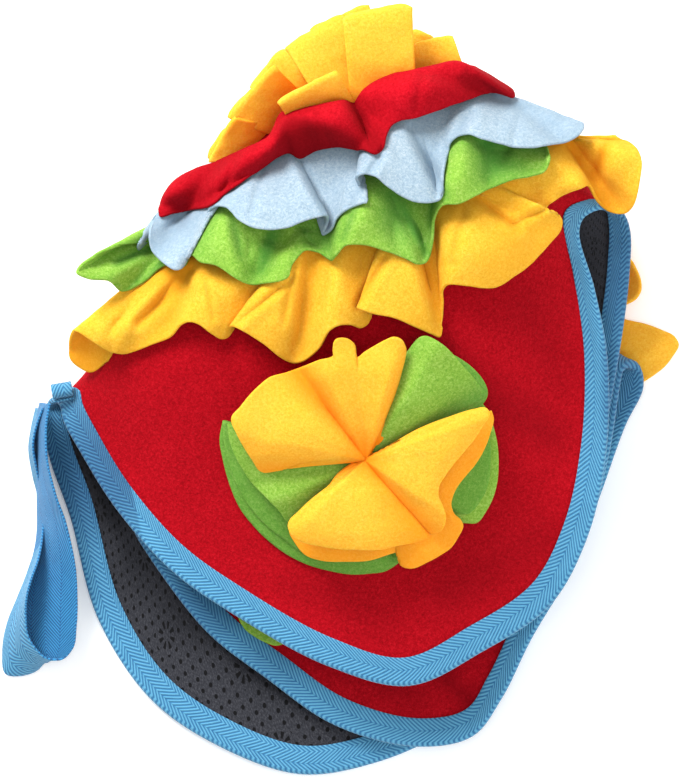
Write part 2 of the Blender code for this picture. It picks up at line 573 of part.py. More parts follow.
class LiftMap:
    def __init__(self, start):
        self.z = np.full((PHI_N, RHO_N), float(start))

    def index(self, phi, rho):
        i = np.round((np.asarray(phi) % 360.0)).astype(int) % 360
        j = np.clip(np.round(np.asarray(rho) / RHO_TOP * (RHO_N - 1)).astype(int), 0, RHO_N - 1)
        return i, j

    def top(self, phi, rho, reach_phi=5, reach_rho=7):
        i, j = self.index(phi, rho)
        best = np.full(i.shape, -1e9)
        for a in range(-reach_phi, reach_phi + 1):
            for b in range(-reach_rho, reach_rho + 1):
                best = np.maximum(best, self.z[(i + a) % 360, np.clip(j + b, 0, RHO_N - 1)])
        return best

    def add(self, phi, rho, lift):
        i, j = self.index(phi, rho)
        np.maximum.at(self.z, (i.ravel(), j.ravel()), lift.ravel())


def place_on_dome(x, y, lift):
    """The dome angle and rho at which a point of that lift shows at plan (x, y), with the lift raised where it must be."""
    tx, ty = plan(x, y)
    while True:
        p = DOME_P + DOME_N * lift
        d = np.hypot(p[..., 0] - tx, p[..., 1] - ty) + np.where(DOME_N[..., 2] < -0.25, 50.0, 0.0)
        k = np.unravel_index(np.argmin(d), d.shape)
        if d[k] < 1.2 or lift > 40:
            return DOME_PHI[k[0]], DOME_RHO[k[1]], lift
        lift += 1.0


def ruffle(name, seam_rho, rows, lift_map, colour, back_rho, back_waves):
    solved = [place_on_dome(x, y, lift) for x, y, lift in rows]
    # keep the angle falling along the hem, as a strip that never doubles back
    kept = [solved[0]]
    for row in solved[1:]:
        if row[0] < kept[-1][0] - 2.0:
            kept.append(row)
    first, last = kept[0][0], kept[-1][0]
    span = 360.0 - (first - last)
    for k in range(1, back_waves):
        a = last - span * k / back_waves
        edge = min(k, back_waves - k) / back_waves
        kept.append((a, back_rho, (3.0 if k % 2 else 5.5) + (6.0 if edge < 0.16 else 0.0)))
    kept = np.array(kept)
    fall = kept[0, 0] - kept[:, 0]
    cols = []
    edges = np.concatenate([fall, [360.0]])
    for a, b in zip(edges[:-1], edges[1:]):
        n = 2 if b - a > (5.0 if a < fall[len(kept) - back_waves] else 90.0) else 1
        cols += [a + (b - a) * j / n for j in range(n)]
    cols = np.array(cols)
    hem = hermite(fall, kept[:, 1:], cols, 360.0)
    hem_phi = kept[0, 0] - cols
    even = cols.copy()
    for _ in range(6):
        even = 0.5 * even + 0.25 * (np.roll(even, 1) - 360.0 * (np.arange(len(cols)) == 0)
                                    + np.roll(even, -1) + 360.0 * (np.arange(len(cols)) == len(cols) - 1))
    seam_phi = kept[0, 0] - even
    vs = np.array([0.0, 0.5, 1.0])
    phi = seam_phi + (hem_phi - seam_phi) * vs[:, None]
    rho = seam_rho + (hem[:, 0] - seam_rho) * vs[:, None]
    base = RED_OUT + 1.3 + RUFFLE_THICK / 2
    lift = base + (np.maximum(hem[:, 1], base) - base) * (vs[:, None] ** 1.2)
    need = lift_map.top(phi, rho) + RUFFLE_THICK / 2 + 0.8
    lift = np.maximum(lift, need)
    # fine samples of this strip go on the map for the next one
    fine_v = np.linspace(0, 1, 15)
    fine_c = np.linspace(0, len(cols), len(cols) * 6, endpoint=False)
    i0 = np.floor(fine_c).astype(int) % len(cols)
    i1 = (i0 + 1) % len(cols)
    f = fine_c - np.floor(fine_c)
    for v in fine_v:
        b = min(int(v * 2), 1)
        g = v * 2 - b
        at = lambda q, i: q[b, i] * (1 - g) + q[b + 1, i] * g
        p0, p1 = at(phi, i0), at(phi, i1)
        p1 = p1 - 360.0 * (p1 > p0 + 180)
        lift_map.add(p0 * (1 - f) + p1 * f, at(rho, i0) * (1 - f) + at(rho, i1) * f,
                     at(lift, i0) * (1 - f) + at(lift, i1) * f + RUFFLE_THICK / 2)
    t = t_of(phi)
    mid = mat_point(t, rho) + mat_normal(t, rho) * lift[..., None]
    mid[..., 2] = np.maximum(mid[..., 2], RUFFLE_THICK / 2)
    n = grid_normals(mid, True)
    fr, bk = mid + n * RUFFLE_THICK / 2, mid - n * RUFFLE_THICK / 2
    fr[..., 2] = np.maximum(fr[..., 2], 0.0)
    bk[..., 2] = np.maximum(bk[..., 2], 0.0)
    verts, faces = grid_solid(fr, bk, True)
    return new_object(name, verts, faces, colour)


# ---- loops, petals, tapes ----
def strip_solid(path_near, path_far, thick, closed=False):
    """Solid tape between its two edges (each n x 3)."""
    mid = np.stack([path_near, path_far])
    n = grid_normals(mid, closed)
    n[:] = (n[0] + n[1]) / 2
    n /= np.linalg.norm(n, axis=-1, keepdims=True)
    return grid_solid(mid + n * thick / 2, mid - n * thick / 2, closed)


def center_loop(tag, phi, rho, left, right, z, depth):
    foot = mat_point(t_of(phi), rho)[()] + mat_normal(t_of(phi), rho)[()] * (RED_OUT + 4.5)
    lx, ly = plan(*left)
    rx, ry = plan(*right)
    tip = np.array([(lx + rx) / 2, (ly + ry) / 2, z])
    side = np.array([rx - lx, ry - ly, 0.0])
    width = np.linalg.norm(side)
    side /= width
    up = tip - foot
    up -= side * up.dot(side)
    length = np.linalg.norm(up)
    up /= length
    deep = np.cross(side, up)
    if deep[2] < 0:
        deep = -deep
    d = depth / 2 - LOOP_THICK / 2
    prof = [(0.0, -1.6), (0.35, -d), (0.85, -d), (1.0, -0.3 * d), (1.0, 0.3 * d), (0.85, d),
            (0.35, d), (0.0, 1.6)]
    path = np.array([foot + up * (a * (length - LOOP_THICK / 2)) + deep * b for a, b in prof])
    half = np.interp([a for a, b in prof], [0.0, 0.35, 0.7], [0.22, 0.36, 0.5])[:, None] * width
    verts, faces = strip_solid(path - side * half, path + side * half, LOOP_THICK)
    return new_object("center_loop_" + tag, verts, faces, "yellow")


def petal(name, base, rows, colour, height_of, taken):
    ang = np.unwrap(np.radians([r[0] for r in rows]))
    k = np.degrees(ang)
    fine = k
    val = hermite(k, [(r[1], r[2]) for r in rows], fine)
    share = np.array([0.10, 0.45, 0.75, 1.0])
    rad = val[:, 0] * share[:, None]
    a = np.radians(fine)[None, :]
    x, y = plan(FLOWER_MID[0] + rad * np.cos(a), FLOWER_MID[1] - rad * np.sin(a))
    own = base + val[:, 1] * np.sin(share[:, None] * math.pi * 0.62) - 2.5 * share[:, None] ** 2
    floor = height_of(x, y) + own
    floor = np.maximum(floor, taken.top(x, y) + PETAL_THICK / 2 + 0.9)
    mid = np.stack([x, y, floor], axis=-1)
    taken.add_grid(mid, PETAL_THICK / 2)
    up = np.array([0, 0, 1.0])
    verts, faces = grid_solid(mid + up * PETAL_THICK / 2, mid - up * PETAL_THICK / 2)
    return new_object(name, verts, faces, colour)


class HeightMap:
    """Highest point so far over plan cells of 2 mm."""
    CELL, N = 2.0, 260

    def __init__(self):
        self.z = np.full((self.N, self.N), -1e9)

    def cell(self, x, y):
        i = np.clip(np.round(np.asarray(x) / self.CELL).astype(int) + self.N // 2, 0, self.N - 1)
        j = np.clip(np.round(np.asarray(y) / self.CELL).astype(int) + self.N // 2, 0, self.N - 1)
        return i, j

    def add_grid(self, p, more, steps=12):
        r, c = p.shape[:2]
        for a in range(r - 1):
            for b in range(c - 1):
                for u in np.linspace(0, 1, steps):
                    for v in np.linspace(0, 1, steps):
                        q = (p[a, b] * (1 - u) * (1 - v) + p[a + 1, b] * u * (1 - v)
                             + p[a, b + 1] * (1 - u) * v + p[a + 1, b + 1] * u * v)
                        i, j = self.cell(q[0], q[1])
                        self.z[i, j] = max(self.z[i, j], q[2] + more)

    def top(self, x, y, reach=4):
        i, j = self.cell(x, y)
        best = np.full(i.shape, -1e9)
        for a in range(-reach, reach + 1):
            for b in range(-reach, reach + 1):
                best = np.maximum(best, self.z[np.clip(i + a, 0, self.N - 1), np.clip(j + b, 0, self.N - 1)])
        return best


def build():
    ts = mat_columns()
    p, n, tris, rim, out, thin = mat_shell(ts, [0.07, 0.17, 0.32, 0.50], [0.48, 0.75])
    g2 = SHEET_GAP / 2
    verts, faces = shell_solid(p, n, tris, rim[1], RED_OUT, g2)
    new_object("mat_top", verts, faces, "mat_top")
    verts, faces = shell_solid(p, n, tris, rim[1], -g2, -BACK_OUT)
    new_object("mat_backing", verts, faces, "mat_backing")

    # binding: a folded tape. Its section is given as rows of: inner edge 0 or cut edge 1, outward mm, side of the mat (share
    # of its own thickness up or down) and what is added beyond that
    edge, wrap = 0.45, SHEET_GAP + TAPE_THICK
    bulge = edge + TAPE_THICK
    section = [(0, 0, 1, wrap), (1, 0.4, 1, wrap), (1, bulge, 0.7, 0), (1, bulge, -0.7, 0), (1, 0.4, -1, -wrap),
               (0, 0, -1, -wrap), (0, 0, -1, -SHEET_GAP), (1, edge, -1, -SHEET_GAP), (1, edge, 1, SHEET_GAP),
               (0, 0, 1, SHEET_GAP)]
    rows = np.array([p[rim[r]] + n[rim[r]] * (side * (RED_OUT if side > 0 else BACK_OUT)) + n[rim[r]] / thin[:, None] * more
                     + out * o for r, o, side, more in section])
    rows[..., 2] = np.maximum(rows[..., 2], 0.0)
    m, c = rows.shape[:2]
    faces = []
    for i in range(m):
        k = (i + 1) % m
        inward = section[i][0] > section[k][0] or i == 7
        for j in range(c):
            l = (j + 1) % c
            a, b, d, e = i * c + j, i * c + l, k * c + l, k * c + j
            faces += [(a, b, e), (b, d, e)] if inward else [(a, b, d), (a, d, e)]
    new_object("edge_binding", rows.reshape(-1, 3), faces, "edge_binding")

    # dome samples for placing by plan position
    global DOME_PHI, DOME_RHO, DOME_P, DOME_N
    DOME_PHI = np.arange(215.0, -45.0, -1.0)
    DOME_RHO = np.linspace(0.06, 0.76, 141)
    tt = t_of(DOME_PHI)[:, None] + 0 * DOME_RHO[None, :]
    rr = DOME_RHO[None, :] + 0 * tt
    DOME_P, DOME_N = mat_point(tt, rr), mat_normal(tt, rr)

    lifts = LiftMap(RED_OUT)
    for colour, back_rho, waves in (("yellow", 0.47, 18), ("green", 0.40, 16), ("light_blue", 0.33, 14), ("red", 0.26, 12)):
        seam, rows = HEMS[colour]
        ruffle("ruffle_" + colour, seam, rows, lifts, colour, back_rho, waves)

    for row in LOOPS:
        center_loop(*row)

    # height of the front sector under the flower, with the fleece's own thickness
    fr = np.linspace(0.30, 1.0, 71)
    ft = np.linspace(KNOTS[0], KNOTS[12], 200)
    fp = mat_point(ft[:, None] + 0 * fr, fr[None, :] + 0 * ft[:, None])

    def height_of(x, y):
        x, y = np.asarray(x), np.asarray(y)
        best = np.empty(x.shape)
        for idx in np.ndindex(x.shape):
            d = (fp[..., 0] - x[idx]) ** 2 + (fp[..., 1] - y[idx]) ** 2
            best[idx] = fp[np.unravel_index(np.argmin(d), d.shape)][2]
        return best + RED_OUT

    taken = HeightMap()
    for name, base, rows in PETALS:
        petal("flower_" + name, base, rows, name.split("_")[0], height_of, taken)

    # the ends of two more flowers
    ct = np.linspace(KNOTS[[r[0] for r in RIM].index("C01")], KNOTS[[r[0] for r in RIM].index("C08")], 160)
    cr = np.linspace(0.66, 1.0, 60)
    cp = mat_point(ct[:, None] + 0 * cr, cr[None, :] + 0 * ct[:, None])
    for name, middle, on, rows in LOW_PETALS:
        a = np.radians([r[0] for r in rows])[None, :]
        share = np.array([0.12, 0.5, 0.8, 1.0])[:, None]
        rad = np.array([r[1] for r in rows]) * share
        x, y = plan(middle[0] + rad * np.cos(a), middle[1] - rad * np.sin(a))
        if on == "floor":
            z = np.zeros_like(x) + PETAL_THICK / 2
        else:
            d = (cp[..., 0] - x[..., None, None]) ** 2 + (cp[..., 1] - y[..., None, None]) ** 2
            z = cp.reshape(-1, 3)[d.reshape(x.shape + (-1,)).argmin(axis=-1)][..., 2] + RED_OUT + PETAL_THICK / 2
            z = z + np.array([r[2] for r in rows]) * share + 0.6
        mid = np.stack([x, y, z], axis=-1)
        up = np.array([0, 0, PETAL_THICK / 2])
        verts, faces = grid_solid(mid + up, mid - up)
        new_object("flower_" + name, verts, faces, name.split("_")[0])

    # rolled end of the tape at the corner, its axis along the plan
    r = TAPE_ROLL
    a = np.radians(np.linspace(-60.0, 340.0, 15))
    rad = np.linspace(r["radius"] * 0.52, r["radius"], 15)
    c, s = math.cos(math.radians(r["turn_deg"])), math.sin(math.radians(r["turn_deg"]))
    x, y = plan(r["x"], r["y"])
    ring = np.stack([x + rad * np.cos(a) * c, y + rad * np.cos(a) * s, r["z"] + rad * np.sin(a)], axis=1)
    half = np.array([-s, c, 0.0]) * r["length"] / 2
    verts, faces = strip_solid(ring - half, ring + half, TAPE_THICK)
    new_object("tape_roll", verts, faces, "tape")

    near = np.array([(*plan(p[0][0], p[0][1]), p[0][2]) for p in STRAP], float)
    far = np.array([(*plan(p[1][0], p[1][1]), p[1][2]) for p in STRAP], float)
    verts, faces = strip_solid(near, far, 1.2)
    new_object("hanging_loop", verts, faces, "tape")


for ob in list(bpy.data.objects):
    bpy.data.objects.remove(ob, do_unlink=True)
PARTS = bpy.data.collections.new("snuffle_mat")
bpy.context.scene.collection.children.link(PARTS)
build()
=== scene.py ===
import json
import math

import bmesh
import bpy
import numpy as np
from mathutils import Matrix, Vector, noise

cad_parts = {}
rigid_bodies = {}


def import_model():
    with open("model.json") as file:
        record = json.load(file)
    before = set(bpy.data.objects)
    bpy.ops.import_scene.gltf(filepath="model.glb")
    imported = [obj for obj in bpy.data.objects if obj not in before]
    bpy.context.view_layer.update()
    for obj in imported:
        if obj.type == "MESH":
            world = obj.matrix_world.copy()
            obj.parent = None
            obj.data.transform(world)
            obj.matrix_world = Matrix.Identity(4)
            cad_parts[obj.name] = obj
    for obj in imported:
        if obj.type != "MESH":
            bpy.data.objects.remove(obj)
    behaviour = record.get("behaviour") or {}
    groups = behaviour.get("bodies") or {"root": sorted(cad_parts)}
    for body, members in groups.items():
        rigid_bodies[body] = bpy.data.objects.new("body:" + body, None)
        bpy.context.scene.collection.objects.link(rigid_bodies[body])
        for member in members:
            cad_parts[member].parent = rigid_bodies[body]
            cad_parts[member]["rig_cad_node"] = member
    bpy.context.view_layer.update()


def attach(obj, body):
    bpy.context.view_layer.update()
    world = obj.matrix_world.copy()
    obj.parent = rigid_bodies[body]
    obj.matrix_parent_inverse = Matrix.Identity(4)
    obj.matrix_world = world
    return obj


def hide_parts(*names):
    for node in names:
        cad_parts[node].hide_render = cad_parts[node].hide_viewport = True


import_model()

GRID = 0.46e-3          # metres for one step of the drawing grid
PLAN_CENTRE = (340.4, 392.0)
MM = 0.001

TOP_THICK = 1.6         # red fleece, mm
BACK_THICK = 1.1        # anti-slip backing, mm
SHEET_GAP = 0.3         # between any two pieces, mm
TAPE_THICK = 0.8
TAPE_COVER = 11.0       # how far the binding reaches in from the rim, mm
RUFFLE_THICK = 1.5
PETAL_THICK = 2.0
LOOP_THICK = 1.6
RHO_TUCK = 0.50         # inside this share of the radius the mat is one flattened dome, beyond it the layers part

RED_OUT = SHEET_GAP / 2 + TOP_THICK
BACK_OUT = SHEET_GAP / 2 + BACK_THICK

# Rings round the dome, from the crown outwards: left and right flank and front in plan, back in plan, flank height,
# and the half heights to the front and the back.
#        rho   lx   ly   rx   ry   fx   fy   bx   by   zc  front back
RINGS = [
    (0.000, 338, 92, 338, 92, 338, 92, 338, 92, 44, 0, 0),
    (0.060, 290, 116, 392, 78, 345, 104, 344, 102, 44, 16, 15),
    (0.120, 245, 146, 435, 80, 348, 118, 347, 114, 44, 25, 24),
    (0.180, 208, 182, 476, 92, 352, 140, 350, 134, 44, 30, 29),
    (0.250, 186, 218, 508, 108, 356, 170, 354, 162, 44, 33, 31),
    (0.320, 166, 252, 534, 124, 361, 203, 358, 194, 44, 34, 32),
    (0.400, 142, 290, 556, 142, 367, 243, 363, 235, 44, 34, 32),
    (0.500, 118, 328, 572, 162, 373, 292, 368, 285, 43, 32, 32),
]

# The rim, all the way round: sectors A (front), D and C (tucked), B (on the floor). phi is the dome angle of the spoke,
# lead says how far the spoke keeps the dome's own direction.
# face is +1 where the fleece looks up and -1 where it looks down.
#       name    x    y    z   phi  lead face
RIM = [
    ("A01", 64, 419, 22.0, 172, 0.8, 1),
    ("A02", 83, 454, 26.5, 166, 0.8, 1),
    ("A03", 118, 509, 31.5, 158, 0.8, 1),
    ("A04", 173, 570, 36.0, 147, 0.8, 1),
    ("A05", 236, 614, 38.5, 135, 0.8, 1),
    ("A06", 330, 665, 39.5, 117, 0.8, 1),
    ("A07", 409, 684, 39.5, 101, 0.8, 1),
    ("A08", 480, 651, 38.5, 86, 0.8, 1),
    ("A09", 549, 604, 37.5, 71, 0.8, 1),
    ("A10", 585, 539, 37.0, 59, 0.7, 1),
    ("A11", 604, 457, 38.0, 49, 0.6, 1),
    ("A12", 606, 361, 40.0, 41, 0.5, 1),
    ("A13", 593, 290, 43.0, 35, 0.4, 1),
    ("A14", 577, 232, 47.5, 31, 0.3, 1),
    ("F2a", 582, 217, 45.8, 28, 0.6, 1),
    ("F2b", 598, 207, 41.5, 24, 0.6, 1),
    ("F2c", 614, 209, 36.0, 19, 0.6, -1),
    ("F2d", 624, 217, 31.7, 13, 0.6, -1),
    ("D01", 629, 232, 30.0, 7.5, 0.6, -1),
    ("D02", 628, 275, 29.0, 7.5, 0.6, -1),
    ("D03", 620, 340, 28.5, 7.5, 0.25, -1),
    ("D04", 603, 430, 28.5, 7.5, 0.2, -1),
    ("D05", 574, 515, 28.5, 7.5, 0.2, -1),
    ("D06", 515, 585, 28.5, 7.5, 0.15, -1),
    ("D07", 430, 626, 28.5, 7.5, 0.15, -1),
    ("D08", 335, 616, 28.5, 7.5, 0.15, -1),
    ("D09", 240, 577, 28.5, 7.5, 0.15, -1),
    ("F4a", 157, 539, 28.5, 7.5, 0.15, -1),
    ("F4b", 143, 532, 26.1, 4.5, 0.15, -1),
    ("F4", 137, 531, 20.4, 0, 0.15, 0),
    ("F4c", 138, 537, 14.8, -4.5, 0.15, 1),
    ("C01", 145, 549, 12.4, -8.5, 0.15, 1),
    ("C02", 207, 631, 12.0, -8.5, 0.15, 1),
    ("C03", 267, 678, 12.0, -8.5, 0.15, 1),
    ("C04", 334, 724, 12.0, -8.5, 0.15, 1),
    ("C05", 415, 746, 12.0, -8.5, 0.15, 1),
    ("C06", 472, 736, 12.0, -8.5, 0.15, 1),
    ("C07", 500, 700, 12.0, -8.5, 0.2, 1),
    ("C08", 530, 640, 12.6, -8.5, 0.2, 1),
    ("C09", 580, 552, 14.2, -8.5, 0.25, 1),
    ("C10", 608, 455, 16.6, -8.5, 0.3, 1),
    ("C11", 619, 386, 18.4, -8.5, 0.3, 1),
    ("F3a", 623, 369, 16.9, -13, 0.3, 1),
    ("F3b", 631, 364, 13.2, -18, 0.3, 0),
    ("F3c", 640, 369, 9.5, -23, 0.3, -1),
    ("B01", 643, 386, 8.0, -29, 0.3, -1),
    ("B02", 625, 425, 6.6, -35, 0.4, -1),
    ("B03", 588, 525, 4.6, -43, 0.5, -1),
    ("B04", 544, 612, 3.4, -53, 0.6, -1),
    ("B05", 500, 684, 3.2, -65, 0.7, -1),
    ("B06", 440, 734, 3.2, -78, 0.7, -1),
    ("B07", 370, 764, 3.2, -92, 0.7, -1),
    ("B08", 300, 774, 3.2, -105, 0.7, -1),
    ("B09", 217, 745, 3.2, -118, 0.7, -1),
    ("B10", 152, 700, 3.2, -130, 0.7, -1),
    ("B11", 99, 620, 3.2, -142, 0.7, -1),
    ("B12", 70, 515, 3.2, -154, 0.7, -1),
    ("B13", 49, 455, 3.6, -165, 0.7, -1),
    ("B14", 43, 420, 5.2, -173, 0.7, -1),
    ("F1a", 46, 410, 6.8, -176, 0.7, -1),
    ("F1b", 50, 403, 11.0, -179, 0.7, -1),
    ("F1c", 57, 401, 16.2, -182, 0.7, 1),
    ("F1d", 62, 408, 20.4, -185, 0.7, 1),
]

# Where the rim turns over a fold: the way the cut edge points there (x right, y up, z up).
RIM_OUT = {
    "F2a": (1.0, 0.0, 0.0), "F2b": (1.0, 0.0, 0.0), "F2c": (1.0, 0.0, 0.0), "F2d": (1.0, 0.0, 0.0),
    "F4a": (-0.45, -0.89, 0.0), "F4b": (-0.68, -0.72, 0.0), "F4": (-0.68, -0.72, 0.0), "F4c": (-0.68, -0.72, 0.0),
    "F3a": (1.0, 0.0, 0.0), "F3b": (1.0, 0.0, 0.0), "F3c": (1.0, 0.0, 0.0),
    "F1a": (-0.96, -0.29, 0.0), "F1b": (-0.96, -0.29, 0.0), "F1c": (-0.96, -0.29, 0.0), "F1d": (-0.96, -0.29, 0.0),
}

# Where the cloth is squeezed thinner: at the rim's tightest turns, and where the tucked layers leave the dome.
PINCH = {
    "A14": 0.85, "F2a": 0.6, "F2b": 0.4, "F2c": 0.4, "F2d": 0.6, "D01": 0.85,
    "B14": 0.8, "F1a": 0.45, "F1b": 0.55, "F1c": 0.7,
    "F4a": 0.8, "F4b": 0.8, "F4": 0.8, "F3a": 0.8, "F3b": 0.7, "F3c": 0.8,
}
HUB_PINCH = 0.2


E1 = np.array([0.943, -0.334])     # along the ridge of the dome, in plan
AXIS = np.array([0.334, 0.943])    # down the dome, in plan


def hermite(knots, values, t, period=None):
    """Smooth curve through rows of values at the knots (non-uniform Catmull-Rom)."""
    k = np.asarray(knots, float)
    v = np.asarray(values, float)
    if v.ndim == 1:
        v = v[:, None]
    t = np.atleast_1d(np.asarray(t, float))
    if period is not None:
        t = (t - k[0]) % period + k[0]
        k = np.concatenate([[k[-1] - period], k, [k[0] + period, k[1] + period]])
        v = np.vstack([v[-1:], v, v[:1], v[1:2]])
        lo = 1
    else:
        k = np.concatenate([[2 * k[0] - k[1]], k, [2 * k[-1] - k[-2]]])
        v = np.vstack([2 * v[:1] - v[1:2], v, 2 * v[-1:] - v[-2:-1]])
        lo = 1
    h = np.diff(k)
    d = np.diff(v, axis=0) / h[:, None]
    m = np.zeros_like(v)
    m[1:-1] = (d[:-1] * h[1:, None] + d[1:] * h[:-1, None]) / (h[1:] + h[:-1])[:, None]
    i = np.clip(np.searchsorted(k, t, side="right") - 1, lo, len(k) - 3)
    s = ((t - k[i]) / h[i])[:, None]
    hh = h[i][:, None]
    return ((2 * s**3 - 3 * s**2 + 1) * v[i] + (s**3 - 2 * s**2 + s) * hh * m[i]
            + (3 * s**2 - 2 * s**3) * v[i + 1] + (s**3 - s**2) * hh * m[i + 1])


def smooth_step(x, a, b):
    """0 at a, 1 at b."""
    s = np.clip((np.asarray(x, float) - a) / (b - a), 0, 1)
    return s * s * (3 - 2 * s)


def plan(x, y):
    """Plan grid to millimetres."""
    g = GRID / MM
    return (np.asarray(x, float) - PLAN_CENTRE[0]) * g, (PLAN_CENTRE[1] - np.asarray(y, float)) * g


# ---- the folded mat as a surface of spoke t (0..1 round the rim) and radius share rho (0..1) ----
RING_T = np.array(RINGS, float)
RIM_XYZ = np.array([r[1:4] for r in RIM], float)
RIM_PHI = np.array([r[4] for r in RIM], float)
RIM_LEAD = np.array([r[5] for r in RIM], float)
RIM_FACE = np.array([r[6] for r in RIM], float)


def rim_knots():
    p = RIM_XYZ.copy()
    p[:, 2] *= MM / GRID
    step = np.linalg.norm(np.roll(p, -1, axis=0) - p, axis=1) ** 0.6
    return np.concatenate([[0.0], np.cumsum(step)])


KNOTS = rim_knots()
PERIOD = KNOTS[-1]
KNOTS = KNOTS[:-1]
PHI_UNWRAPPED = RIM_PHI.copy()


def out_rows():
    """The way the cut edge points at every rim row: square to the rim, or along the fold where the rim turns over one."""
    e = PERIOD * 2e-3
    along = hermite(KNOTS, RIM_XYZ, KNOTS + e, PERIOD) - hermite(KNOTS, RIM_XYZ, KNOTS - e, PERIOD)
    along = along * [GRID / MM, -GRID / MM, 1.0]
    along /= np.linalg.norm(along, axis=1, keepdims=True)
    face = np.sign(RIM_FACE)
    out = np.cross(along, np.stack([0 * face, 0 * face, face], axis=1))
    for i, row in enumerate(RIM):
        if row[0] in RIM_OUT:
            out[i] = RIM_OUT[row[0]]
    return out / np.linalg.norm(out, axis=1, keepdims=True)


OUT_ROWS = out_rows()


def phi_of(t):
    """Dome angle of the spoke at rim parameter t, falling all the way from 175 to -185."""
    k = np.concatenate([KNOTS, [PERIOD]])
    v = np.concatenate([PHI_UNWRAPPED, [PHI_UNWRAPPED[0] - 360.0]])
    return np.interp(np.asarray(t) % PERIOD, k, v)


def t_of(phi):
    k = np.concatenate([KNOTS, [PERIOD]])
    v = np.concatenate([PHI_UNWRAPPED, [PHI_UNWRAPPED[0] - 360.0]])
    phi = (np.asarray(phi, float) - v[-1]) % 360.0 + v[-1]
    return np.interp(phi, v[::-1], k[::-1])


def ring_point(phi_deg, rho):
    """Point on the dome, millimetres."""
    phi, rho = np.broadcast_arrays(np.radians(phi_deg), np.asarray(rho, float))
    # rho enters by its square root so the crown closes roundly
    row = hermite(RING_T[:, 0] ** 0.8, RING_T[:, 1:], np.clip(rho, 0, None).ravel() ** 0.8).reshape(rho.shape + (11,))
    lx, ly, rx, ry, fx, fy, bx, by, zc, hf, hb = np.moveaxis(row, -1, 0)
    c, s = np.cos(phi), np.sin(phi)
    mx, my = (lx + rx) / 2, (ly + ry) / 2
    sag = np.abs(s) ** 1.7
    front = s > 0
    ox = np.where(front, fx, bx) - mx
    oy = np.where(front, fy, by) - my
    px = mx + c * (rx - lx) / 2 + sag * ox
    py = my + c * (ry - ly) / 2 + sag * oy
    h = np.where(front, hf, hb)
    z = zc + np.sign(s) * np.abs(s) ** 0.9 * h
    x, y = plan(px, py)
    return np.stack([x, y, z], axis=-1)


def mat_point(t, rho):
    """Point on the folded mat between fleece and backing, millimetres."""
    t, rho = np.broadcast_arrays(np.asarray(t, float), np.asarray(rho, float))
    shape = t.shape
    t, rho = t.ravel(), rho.ravel()
    phi = phi_of(t)
    inner = ring_point(phi, np.minimum(rho, RHO_TUCK))
    p1 = ring_point(phi, np.full_like(phi, RHO_TUCK))
    e = 0.02
    slope = (p1 - ring_point(phi, np.full_like(phi, RHO_TUCK - e))) / e
    rim = hermite(KNOTS, RIM_XYZ, t, PERIOD)
    x, y = plan(rim[:, 0], rim[:, 1])
    rim = np.stack([x, y, rim[:, 2]], axis=1)
    lead = hermite(KNOTS, RIM_LEAD, t, PERIOD)
    chord = rim - p1
    length = np.linalg.norm(chord, axis=1, keepdims=True)
    d1 = slope / np.linalg.norm(slope, axis=1, keepdims=True) * length * lead
    # every spoke meets the rim squarely, so the binding keeps its width
    arrive = hermite(KNOTS, OUT_ROWS, t, PERIOD)
    arrive = arrive / np.linalg.norm(arrive, axis=1, keepdims=True) * np.minimum(length * 0.7, 90.0)
    u = np.clip((rho - RHO_TUCK) / (1 - RHO_TUCK), 0, 1)[:, None]
    outer = ((2 * u**3 - 3 * u**2 + 1) * p1 + (u**3 - 2 * u**2 + u) * d1
             + (3 * u**2 - 2 * u**3) * rim + (u**3 - u**2) * arrive)
    # in the tuck the layers part at once
    tuck = (smooth_step(phi, 22.0, 7.0) * smooth_step(phi, -45.0, -24.0))[:, None]
    quick = p1[:, 2:] + (rim[:, 2:] - p1[:, 2:]) * (1 - (1 - u) ** 1.8)
    outer[:, 2:] = outer[:, 2:] * (1 - tuck) + quick * tuck
    out = np.where((rho > RHO_TUCK)[:, None], outer, inner)
    # sector B lies flat on the floor between the dome and its bound rim
    low = smooth_step(phi, -38.0, -54.0) * smooth_step(phi, -177.0, -171.0)
    sink = 7.0 * low * np.clip((0.90 - rho) / 0.06, 0, 1) * np.clip((rho - RHO_TUCK) / 0.2, 0, 1)
    out[:, 2] = np.maximum(out[:, 2] - sink, RED_OUT)
    return out.reshape(shape + (3,))


def mat_normal(t, rho):
    """Outward (fleece side) unit normal."""
    dt, dr = PERIOD * 1e-4, 1e-3
    rho = np.asarray(rho, float)
    a = mat_point(t + dt, rho) - mat_point(t - dt, rho)
    r0, r1 = np.clip(rho - dr, 0.004, 1), np.clip(rho + dr, 0.004, 1)
    b = mat_point(t, r1) - mat_point(t, r0)
    n = np.cross(b, a)
    return n / np.maximum(np.linalg.norm(n, axis=-1, keepdims=True), 1e-9)


def grid_normals(p, wrap):
    du = np.empty_like(p)
    if wrap:
        du = np.roll(p, -1, axis=1) - np.roll(p, 1, axis=1)
    else:
        du[:, 1:-1] = p[:, 2:] - p[:, :-2]
        du[:, 0] = p[:, 1] - p[:, 0]
        du[:, -1] = p[:, -1] - p[:, -2]
    dv = np.empty_like(p)
    dv[1:-1] = p[2:] - p[:-2]
    dv[0] = p[1] - p[0]
    dv[-1] = p[-1] - p[-2]
    n = np.cross(dv, du)
    return n / np.maximum(np.linalg.norm(n, axis=-1, keepdims=True), 1e-9)




# ---- materials ----
def tree_of(name):
    mat = bpy.data.materials.new(name)
    mat.use_nodes = True
    t = mat.node_tree
    return mat, t, t.nodes["Principled BSDF"]


def node(t, kind, **values):
    n = t.nodes.new(kind)
    for k, v in values.items():
        if k in n.inputs:
            n.inputs[k].default_value = v
        else:
            setattr(n, k, v)
    return n


